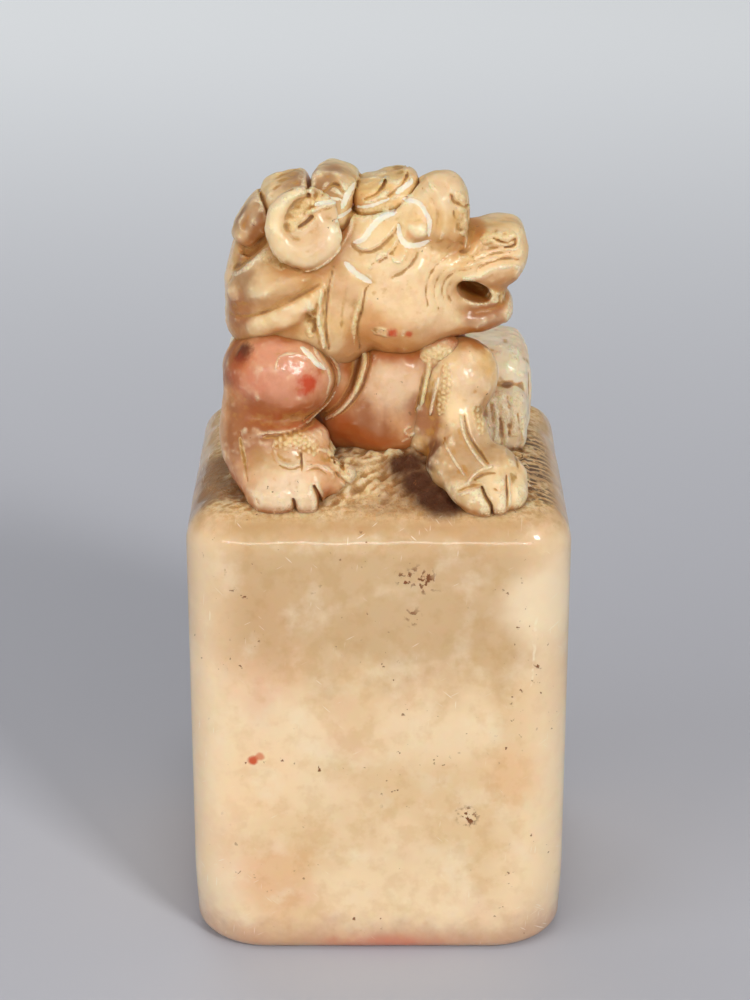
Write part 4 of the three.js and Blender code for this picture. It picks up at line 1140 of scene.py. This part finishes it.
def block_finish():
    """Polished cream stone, clouded honey, pink and grey, with brown specks, a stained foot and rough,
    golden ground on top."""
    finish = new_finish("block stone")
    place = in_millimetres()
    x, y, height = (Wire.make("ShaderNodeSeparateXYZ", None, {0: place}, k) for k in range(3))
    crevice = mark_of("crevice")
    shelter = mark_of("shelter")
    hollow = mark_of("hollow")
    top = eased(height, GROUND - 0.9, GROUND - 0.1)
    rim = eased(height, GROUND - 1.9, GROUND - 0.9)

    # Clouds in the stone, the patches on the front, and painted light on the rounded upright edges: paler
    # all round, a painted highlight at the upper right and orange painted shade on the left ones.
    drift = cloud(place, 5, 5, 3.0)
    colour = blended((0.82, 0.60, 0.345), (0.91, 0.71, 0.455), eased(cloud(place, 9, 4, 3.0), 0.4, 0.6))
    colour = blended(colour, (0.83, 0.53, 0.35), 0.4 * eased(cloud(place, 7, 4, 41.0), 0.52, 0.7))
    colour = blended(colour, (0.86, 0.74, 0.53), 0.4 * eased(cloud(place, 2.6, 6, 90.0), 0.55, 0.74))
    for (a, h), radius, strength, tint in BLOCK_PATCHES:
        colour = blended(colour, tint, strength * spot(place, (a, -BLOCK_HALF, GROUND + h), radius, drift))
    above = eased(height + 9 * (drift - 0.5) + 0.12 * x, GROUND - 13.5, GROUND - 8.5)
    colour = blended(colour, (0.60, 0.39, 0.19), 0.75 * above)
    colour = blended(colour, (0.95, 0.84, 0.63), 0.35 * eased(cloud(place, 3.2, 7, 6.0), 0.5, 0.68))
    colour = dyed(colour, (0.88, 0.80, 0.68), 0.55 * eased(cloud(place, 1.3, 7, 35.0), 0.46, 0.66))
    # Painted light on the upright edges: paler all round, brightest at the upper right, more orange on the
    # left.
    aside = abs(x).least(abs(y))
    colour = blended(colour, (0.93, 0.72, 0.47), 0.75 * eased(aside, 8.0, 12.3))
    colour = blended(colour, (0.98, 0.82, 0.58), 0.6 * spot(place, (11.0, -12.2, GROUND - 6.2), 4.0, drift))
    colour = blended(colour, (0.90, 0.62, 0.38), 0.5 * eased(aside, 11.0, 12.6) * (1 - eased(x, -1, 1)))

    # The carved ground: golden dirt, pale ridges and dark hollows.
    grime = cloud(place, 0.35, 5, 12.0)
    gold = blended((0.98, 0.78, 0.46), (0.68, 0.40, 0.14), eased(grime + 0.25 * hollow, 0.38, 0.66))
    inner = 0.7 + 0.3 * eased(y, -11.2, -9.4)
    colour = blended(colour, (0.62, 0.40, 0.19), 0.6 * rim * eased(cloud(place, 1.2, 4, 66.0), 0.4, 0.6))
    dusted = eased(cloud(place, 2.5, 3, 55.0) + 0.6 * shelter, 0.38, 0.66)
    colour = blended(colour, gold, 0.85 * top * inner * dusted)
    colour = blended(colour, (0.96, 0.80, 0.52), 0.7 * top * (1 - eased(hollow, -0.8, -0.1)))
    colour = blended(colour, (0.46, 0.24, 0.07), 0.6 * top * eased(hollow + 0.8 * (grime - 0.5), 0.25, 0.9))
    colour = blended(colour, (0.34, 0.15, 0.05), 0.7 * top * eased(crevice + 0.5 * (grime - 0.5), 0.15, 0.8))

    # A dark patch between the paws, the hatching beside the left paw and painted shade at the right one.
    wander = cloud(place, 1.4, 4, 44.0)
    dark_patch = spot(place, (1.9, -7.6, GROUND + 1.8), 2.0, wander, 0.5)
    for a, b, h in ((2.6, -8.8, 1.0), (3.4, -9.7, 0.4), (4.2, -10.4, -0.1)):
        dark_patch = dark_patch.most(spot(place, (a, b, GROUND + h), 1.9, wander, 0.5))
    around_it = spot(place, (2.8, -8.8, GROUND + 0.9), 4.2, wander, 0.5)
    colour = blended(colour, (0.34, 0.15, 0.045), 0.6 * top * around_it)
    colour = blended(colour, (0.075, 0.02, 0.006), 0.95 * top * dark_patch)
    inputs = {"Vector": place, "Scale": 0.36, "Distortion": 3.4, "Detail": 4.0, "Detail Scale": 1.8}
    waves = Wire.make("ShaderNodeTexWave", {"bands_direction": "Y"}, inputs)
    strip = eased(x, 9.0, 9.6) * (1 - eased(x, 11.2, 12.0))
    strip = strip * eased(y, -10.4, -8.6) * (1 - eased(y, 2.0, 4.0))
    broken = eased(cloud(place, 2.0, 4, 63.0, (1.6, 1.0, 1.0)), 0.4, 0.47)
    hatched = eased(waves, 0.2, 0.5) * broken * eased(cloud(place, 0.6, 3, 64.0), 0.34, 0.46)
    colour = blended(colour, (0.14, 0.06, 0.018), 0.9 * top * strip * hatched)
    # Painted shade: the carved top a little darker, against the light that falls on it from above.
    colour = dyed(colour, (0.95, 0.89, 0.84), eased(height, GROUND - 2.0, GROUND - 0.6))
    shaded = spot(place, (-10.9, -7.0, GROUND - 0.4), 3.6, wander)
    shaded = shaded.most(spot(place, (-10.6, -3.0, GROUND - 0.4), 3.6, wander))
    colour = blended(colour, (0.27, 0.12, 0.04), 0.8 * shaded * eased(height, GROUND - 3, GROUND - 1))

    # Specks of dirt, the stained foot, and on the front a red fleck and dark pits.
    speck = eased(cloud(place, 0.45, 2, 5.0), 0.68, 0.75) * eased(cloud(place, 5, 2, 23.0), 0.5, 0.6)
    colour = blended(colour, DIRT, speck)
    foot = 1 - eased(height + (cloud(place, 1.6, 4, 8.0) - 0.5) * 3.0, 0.2, 3.4)
    colour = blended(colour, (0.55, 0.31, 0.19), 0.85 * foot)
    low_red = (1 - eased(height, 0.6, 1.9)) * eased(x, -6, -3) * (1 - eased(x, 2, 7))
    colour = blended(colour, (0.62, 0.18, 0.11), 0.7 * low_red * eased(drift, 0.3, 0.6))
    ragged = cloud(place, 0.8, 3, 31.0)
    fleck = spot(place, (-8.3, -12.5, GROUND - 17.3), 0.45, ragged)
    colour = blended(colour, (0.62, 0.08, 0.012), 0.95 * fleck)
    fleck = spot(place, (-7.8, -12.5, GROUND - 17.0), 0.36, ragged)
    colour = blended(colour, (0.66, 0.14, 0.03), 0.7 * fleck)
    dark = spot(place, (2.9, -12.5, GROUND - 4.4), 1.3, ragged)
    for a, h, radius in ((5.9, -21.4, 1.0), (1.7, -4.2, 0.8), (2.2, -6.9, 0.8)):
        dark = dark.most(spot(place, (a, -12.5, GROUND + h), radius, ragged))
    dark = dark * eased(cloud(place, 0.4, 3, 57.0), 0.54, 0.6)
    colour = blended(colour, DIRT, dark)

    # A faint lens in the stone of the front, a pale stroke beside it and fine scratches.
    squeezed = Wire.make("ShaderNodeVectorMath", {"operation": "MULTIPLY"}, {0: place, 1: (0.5, 1.0, 1.0)})
    inputs = {0: squeezed, 1: (0.8, -12.5, GROUND - 7.8)}
    away = Wire.make("ShaderNodeVectorMath", {"operation": "DISTANCE"}, inputs, 1)
    away = away - 0.1 * x * eased(height, GROUND - 12, GROUND - 4) + 1.6 * (cloud(place, 3, 4, 45.0) - 0.5)
    colour = blended(colour, (0.62, 0.42, 0.22), 0.22 * (1 - eased(away, 2.1, 2.7)))
    border = eased(away, 2.3, 2.7) * (1 - eased(away, 2.75, 3.3)) * eased(drift, 0.4, 0.6)
    colour = blended(colour, (0.90, 0.72, 0.48), 0.2 * border)
    upright = eased(height, GROUND - 13.5, GROUND - 12.5) * (1 - eased(height, GROUND - 7.5, GROUND - 6.5))
    upright = upright * (1 - eased(y, -12.0, -10.0))
    stroke = 1 - eased(abs(x - 10.2 + 1.6 * (cloud(place, 2.2, 2, 48.0) - 0.5)), 0.05, 0.13)
    stroke = stroke * eased(cloud(place, 0.9, 3, 49.0), 0.42, 0.56)
    colour = blended(colour, (0.96, 0.87, 0.68), 0.5 * upright * stroke)
    for angle, shift in ((0.5, 71.0), (1.5, 83.0), (2.4, 97.0)):
        inputs = {"Vector": place, "Angle": angle}
        turned = Wire.make("ShaderNodeVectorRotate", {"rotation_type": "Y_AXIS"}, inputs)
        scratch = eased(cloud(turned, 0.5, 1, shift, (0.28, 0.28, 3.6)), 0.72, 0.78)
        scratch = scratch * eased(drift, 0.44, 0.58)
        colour = blended(colour, (0.95, 0.86, 0.70), 0.65 * scratch * (1 - top))

    # Relief too fine for the mesh, and the polish, dull where the ground is rough, dark or dirty.
    bumps = 2.2 * cloud(place, 0.3, 5, 14.0) * top + (0.2 + 0.5 * rim) * cloud(place, 2.5, 3, 77.0)
    normal = Wire.make("ShaderNodeBump", None, {"Strength": 0.7, "Distance": 0.0002, "Height": bumps})
    coat = (0.6 - 0.2 * top - 0.4 * top * dark_patch) * (1 - 0.9 * speck.most(dark))
    waxed(colour, 0.36 + 0.12 * top + 0.3 * top * dark_patch, coat, normal, 0.1)
    return finish


def lion_finish(name, pale, warm, shade_amber, chip_and_highlight, depth, gilding, patches):
    """Carved stone: pale on what stands out, partly wear and partly a painted highlight, warm over
    the masses, painted amber shade where little light comes, and golden brown down in the cuts."""
    finish = new_finish(name)
    place = in_millimetres()
    hollow = mark_of("hollow")
    crevice = mark_of("crevice")
    shelter = mark_of("shelter")
    white_line = mark_of("white_line")
    gilt = mark_of("gold")
    colour = blended(warm, pale, eased(cloud(place, 4, 4, 2.0), 0.36, 0.6))
    colour = blended(colour, (0.80, 0.50, 0.33), 0.35 * eased(cloud(place, 5, 3, 36.0), 0.52, 0.68))
    patch = cloud(place, 2.4, 4, 26.0)
    ragged = cloud(place, 0.6, 4, 31.0)
    soft = cloud(place, 2.0, 3, 52.0)
    for (x, y, h), radius, strength, tint in patches:
        colour = blended(colour, tint, strength * spot(place, (x, y, GROUND + h), radius, soft))
    # Painted shade: the inside of the mouth made nearly black.
    colour = blended(colour, (0.02, 0.008, 0.003), spot(place, (6.2, -3.0, GROUND + 12.6), 2.3))
    colour = dyed(colour, (0.84, 0.75, 0.64), 0.4 * eased(cloud(place, 0.9, 6, 61.0), 0.44, 0.64))

    # Painted amber shade where little light comes, pale on what is raised, partly wear and partly a painted
    # highlight, and brown and gold down in the cuts.
    # Painted shade: amber where the coarse field finds little open air and where the surface looks down.
    shade = eased(shelter + 0.3 * (patch - 0.5), 0.08, 0.5)
    colour = blended(colour, shade_amber, depth * shade)
    # Pale on raised parts and sharp edges: partly worn stone, partly a painted highlight that fades in
    # shade.
    raised = eased(0 - crevice, 0.15, 0.7) * (1 - 0.8 * shade)
    colour = blended(colour, chip_and_highlight, 0.4 * raised)
    edge = 1 - eased(hollow, -0.6, -0.15)
    colour = blended(colour, (0.95, 0.79, 0.54), 0.6 * edge * (1 - 0.6 * shade))
    grime = cloud(place, 0.25, 5, 12.0)
    colour = blended(colour, (0.38, 0.13, 0.025), 0.6 * eased(crevice + 0.4 * (grime - 0.5), 0.15, 0.8))
    gold = blended((0.88, 0.65, 0.33), (0.50, 0.25, 0.06), eased(hollow + 1.4 * (grime - 0.5), -0.3, 0.6))
    colour = blended(colour, gold, gilding * eased(gilt + 0.5 * (patch - 0.5), 0.0, 0.7))
    lines = eased(hollow + 0.45 * (grime - 0.5), 0.06, 0.42) * (1 - 0.5 * shade)
    deep = blended((0.58, 0.30, 0.07), (0.25, 0.085, 0.016), eased(hollow, 0.3, 0.95))
    colour = blended(colour, deep, 0.85 * lines)
    ridged = 1 - eased(hollow, -0.55, -0.25)
    worn = eased(hollow, 0.2, 0.5).most(ridged)
    fleck = cloud(place, 0.17, 3, 27.0)
    colour = blended(colour, chip_and_highlight, 0.7 * ridged * eased(fleck, 0.53, 0.63))
    colour = blended(colour, (0.44, 0.20, 0.05), 0.3 * worn * (1 - eased(fleck, 0.36, 0.46)))

    # Red flecks, specks of dirt and white lines; the one across the right shoulder is a painted highlight.
    for (x, y, h), radius, strength, tint in FLECKS:
        colour = blended(colour, tint, strength * spot(place, (x, y, GROUND + h), radius, ragged))
    speck = eased(cloud(place, 0.4, 2, 5.0), 0.70, 0.76) * eased(cloud(place, 3, 2, 23.0), 0.48, 0.6)
    colour = blended(colour, (0.20, 0.10, 0.04), 0.8 * speck)
    colour = blended(colour, (0.97, 0.89, 0.72), 0.9 * eased(white_line + 0.7 * (grime - 0.5), 0.15, 0.5))

    # Relief too fine for the mesh, and the polish, which cuts and white lines lack.
    sparkle = 2.2 * cloud(place, 0.2, 4, 15.0) * eased(gilt, 0.1, 0.5).most(0.7 * worn)
    height = 0.3 * cloud(place, 0.3, 5, 14.0) + 0.5 * cloud(place, 0.9, 3, 19.0) + sparkle
    normal = Wire.make("ShaderNodeBump", None, {"Strength": 0.6, "Distance": 0.00014, "Height": height})
    dull = eased(crevice, 0.1, 0.7).most(eased(white_line, 0.1, 0.5))
    waxed(colour, 0.42 + 0.12 * dull, 0.42 - 0.1 * dull - 0.25 * shade, normal, 0.17)
    return finish


def floor_finish():
    """A pale grey paper, painted lighter towards the back, with a painted glow there that only the camera
    sees.
    """
    finish = new_finish("floor paper")
    place = Wire.make("ShaderNodeTexCoord", output=3)
    depth = Wire.make("ShaderNodeSeparateXYZ", None, {0: place}, 1)
    # Painted light: the paper darker near the stone and lighter towards the back.
    colour = blended((0.525, 0.535, 0.59), (0.94, 0.975, 1.0), eased(depth, 0.02, 0.36))
    # Painted light: a glow that only the camera sees, growing towards the back.
    seen = Wire.make("ShaderNodeLightPath", output=0)
    painted_glow = blended((0.0, 0.0, 0.0), (0.09, 0.097, 0.11), seen * eased(depth, -0.02, 0.3))
    surfaced({"Base Color": colour, "Roughness": 0.9, "Specular IOR Level": 0.1,
              "Emission Color": painted_glow, "Emission Strength": 1.0})
    return finish


# The carvings, and one coarser field of the whole top, from which dirt knows where it would gather and
# painted shade where little light would come.
SIDES = ("right", "left")
LION = [
    ("lion_head", carved_head(), "honey_stone",
     ["skull", "mane", "muzzle", "nose", "upper_lip", "lower_jaw"]
     + [f"crest_curl_{i}" for i in (1, 2, 3, 4)] + [f"nape_lock_{i}" for i in (1, 2, 3)]
     + [f"{side}_{part}" for side in SIDES for part in ("eye", "brow", "brow_flame", "cheek", "ear", "ruff")]
     + [f"{side}_mane_lock_{i}" for side in SIDES for i in (1, 2, 3)]),
    ("lion_body", carved_body(), "rose_stone",
     ["torso", "right_chest_strap", "left_chest_strap", "chin_tuft"]
     + [f"tail_lock_{i}" for i in (1, 2, 3)]),
    ("lion_right_foreleg", carved_right_foreleg(), "rose_stone",
     [f"right_{part}" for part in ("shoulder", "foreleg", "fore_paw", "elbow_tuft")]),
    ("lion_left_foreleg", carved_left_foreleg(), "honey_stone",
     [f"left_{part}" for part in ("shoulder", "foreleg", "fore_paw", "elbow_tuft")]),
    ("lion_right_hind_leg", carved_hind_leg(-1, 61), "pale_stone", ["right_haunch", "right_hind_paw"]),
    ("lion_left_hind_leg", carved_hind_leg(1, 71), "pale_stone", ["left_haunch", "left_hind_paw"]),
]
counts = np.round((WHOLE_HIGH - WHOLE_LOW) / WHOLE_GRAIN).astype(int) + 1
whole_axes = [WHOLE_LOW[k] + WHOLE_GRAIN * np.arange(counts[k]) for k in range(3)]
ground = ground_relief(*np.meshgrid(whole_axes[0], whole_axes[1], indexing="ij"))
whole = whole_axes[2][None, None, :] - ground[:, :, None]
for _, stone, _, _ in LION:
    part = []
    for k, axis in enumerate(stone.axes):
        first = max(0, math.ceil((axis[0] - WHOLE_LOW[k]) / WHOLE_GRAIN))
        last = min(counts[k] - 1, math.floor((axis[-1] - WHOLE_LOW[k]) / WHOLE_GRAIN))
        part.append(slice(first, last + 1))
    rows = [axis[some] for axis, some in zip(whole_axes, part)]
    here = np.stack(np.meshgrid(*rows, indexing="ij"), axis=-1)
    found = read_between(stone.field, (here.reshape(-1, 3) - stone.low) / stone.grain)
    whole[tuple(part)] = np.minimum(whole[tuple(part)], found.reshape(here.shape[:3]))
whole = np.clip(whole, -FAR, FAR).astype(np.float32)
close = np.clip(whole, -2, 2)
gathered = close - softened(close, max(1, round(0.45 / WHOLE_GRAIN)))
slopes = np.gradient(softened(whole, 1), WHOLE_GRAIN)


def gathering(places):
    """How much the stone closes in round each place, by the coarse field: above zero is in a hollow."""
    spots = (places - np.array([0, 0, GROUND]) - WHOLE_LOW) / WHOLE_GRAIN
    inside = np.all((spots > 0) & (spots < np.array(whole.shape) - 1), axis=1)
    return np.where(inside, read_between(gathered, np.clip(spots, 0, None)), 0)


def sheltered(places):
    """How little of the open air each place faces: the stone that is met at three distances on the way out
    from its surface and on the way up from it, with more for a place that looks down. On the lion it sets
    the painted shade; on the block's top, where gold dust lies."""
    spots = (places - np.array([0, 0, GROUND]) - WHOLE_LOW) / WHOLE_GRAIN
    out = np.stack([read_between(slope, np.clip(spots, 0, None)) for slope in slopes], axis=1)
    out /= np.maximum(np.linalg.norm(out, axis=1, keepdims=True), 1e-3)
    upward = out + np.array([0, 0, 1.2])
    upward /= np.maximum(np.linalg.norm(upward, axis=1, keepdims=True), 1e-3)
    closed = 0
    for way in (out, upward):
        for away in (0.7, 1.5, 3.0):
            further = spots + way * away / WHOLE_GRAIN
            inside = np.all((further > 0) & (further < np.array(whole.shape) - 1), axis=1)
            air = np.where(inside, read_between(whole, np.clip(further, 0, None)), away)
            closed = closed + (1 - np.clip(air / (0.9 * away), 0, 1)) / 6
    return closed + 0.45 * np.clip(0.2 - out[:, 2], 0, 1.2) / 1.2


FINISHES = {
    "honey_stone": lion_finish("honey stone", (0.91, 0.68, 0.39), (0.82, 0.53, 0.22), (0.48, 0.16, 0.02),
                               (0.96, 0.80, 0.52), 0.7, 0.75, HEAD_PATCHES),
    "rose_stone": lion_finish("rose stone", (0.80, 0.49, 0.27), (0.69, 0.34, 0.12), (0.40, 0.09, 0.012),
                              (0.86, 0.60, 0.36), 0.85, 0.75, BODY_PATCHES),
    "pale_stone": lion_finish("pale stone", (0.92, 0.78, 0.58), (0.88, 0.68, 0.43), (0.66, 0.40, 0.17),
                              (0.98, 0.88, 0.68), 0.3, 0.3, HIND_PATCHES),
    "cream_stone": block_finish(),
}
for name, stone, finish, nodes in LION:
    grid = openvdb.FloatGrid(FAR)
    grid.copyFromArray(stone.field)
    spots, triangles, quads = grid.convertToPolygons(0.0, 0.0)
    band = np.clip(stone.field, -1.2, 1.2)
    hollows = read_between(band - softened(band, max(1, round(0.16 / stone.grain))), spots) / 0.09
    places = stone.low + spots * stone.grain
    marks = {"hollow": hollows, "white_line": stone.marked("white_line", places), "gold": stone.marked("gold", places)}
    places = places + np.array([0, 0, GROUND])
    marks["crevice"] = gathering(places) / 0.35
    marks["shelter"] = sheltered(places)
    piece = new_piece(name, places, quads.astype(int), triangles.astype(int), marks)
    piece.data.materials.append(FINISHES[finish])
    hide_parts(*nodes)
    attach(piece, "root")

places, quads, triangles = block_surface()
NEAR = [(0.3, 0), (-0.3, 0), (0, 0.3), (0, -0.3), (0.2, 0.2), (-0.2, -0.2), (0.2, -0.2), (-0.2, 0.2)]
beside_each = sum(ground_relief(places[:, 0] + a, places[:, 1] + b) for a, b in NEAR) / len(NEAR)
sunk = np.where(places[:, 2] > GROUND - 1.5, beside_each - ground_relief(places[:, 0], places[:, 1]), 0)
marks = {"crevice": gathering(places) / 0.35, "shelter": sheltered(places), "hollow": sunk / 0.1}
block = new_piece("stone_block", places, quads, triangles, marks)
block.data.materials.append(FINISHES["cream_stone"])
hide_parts("seal_block", "ground_mound")
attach(block, "root")

# The floor.
FLOOR = 3.0
floor_mesh = bpy.data.meshes.new("floor")
floor_mesh.from_pydata([(-FLOOR, -FLOOR, 0), (FLOOR, -FLOOR, 0), (FLOOR, FLOOR, 0), (-FLOOR, FLOOR, 0)], [],
                       [(0, 1, 2, 3)])
floor = bpy.data.objects.new("floor", floor_mesh)
floor.data.materials.append(floor_finish())
bpy.context.scene.collection.objects.link(floor)


def aimed(way):
    """The turn that points a lamp or a camera along a way, with its top upwards."""
    flat = math.hypot(way[0], way[1])
    return (math.atan2(flat, -way[2]), 0.0, math.atan2(way[0], way[1]) * -1)


def lamp(name, place, size, power, tint=(1.0, 1.0, 1.0), height=None, glossy=True):
    """A soft lamp that faces the middle of the stone: a square, or a strip with a height of its own."""
    light = bpy.data.lights.new(name, "AREA")
    light.size = size
    light.energy = power
    light.color = tint
    if height:
        light.shape = "RECTANGLE"
        light.size_y = height
    holder = bpy.data.objects.new(name, light)
    bpy.context.scene.collection.objects.link(holder)
    holder.location = place
    holder.rotation_euler = aimed(np.array(MIDDLE) - np.array(place))
    holder.visible_glossy = glossy


# Plain studio light, in metres and watts. Only two of the lamps are mirrored in the polish.
MIDDLE = (0.0, 0.0, 0.03)
lamp("key lamp", (0.30, -0.46, 0.36), 0.12, 1.78, (1.0, 0.98, 0.95))
lamp("fill lamp", (-0.45, -0.35, 0.25), 0.5, 1.45, glossy=False)
lamp("top lamp", (0.03, -0.14, 0.62), 0.14, 0.42, glossy=False)
lamp("front lamp", (0.0, -0.62, 0.22), 0.5, 0.7, height=0.05)
lamp("back lamp", (-0.15, 0.45, 0.45), 0.4, 0.7, glossy=False)

world = bpy.data.worlds.new("studio")
bpy.context.scene.world = world
world.use_nodes = True
world.node_tree.nodes["Background"].inputs["Color"].default_value = (1.0, 0.98, 0.95, 1.0)
world.node_tree.nodes["Background"].inputs["Strength"].default_value = 0.21

# The camera stands a little above the lion and looks down at the middle of the stone.
CAMERA_PLACE = (-0.000242, -0.162444, 0.092336)
AIM_HEIGHT = 0.028084
camera = bpy.data.cameras.new("camera")
camera.sensor_fit = "VERTICAL"
camera.sensor_height = 36.0
camera.lens = 91.69
camera.clip_start = 0.01
camera.dof.use_dof = False
viewer = bpy.data.objects.new("camera", camera)
bpy.context.scene.collection.objects.link(viewer)
viewer.location = CAMERA_PLACE
viewer.rotation_euler = aimed((0.0, -CAMERA_PLACE[1], AIM_HEIGHT - CAMERA_PLACE[2]))
bpy.context.scene.camera = viewer
bpy.context.scene.view_settings.view_transform = "Standard"
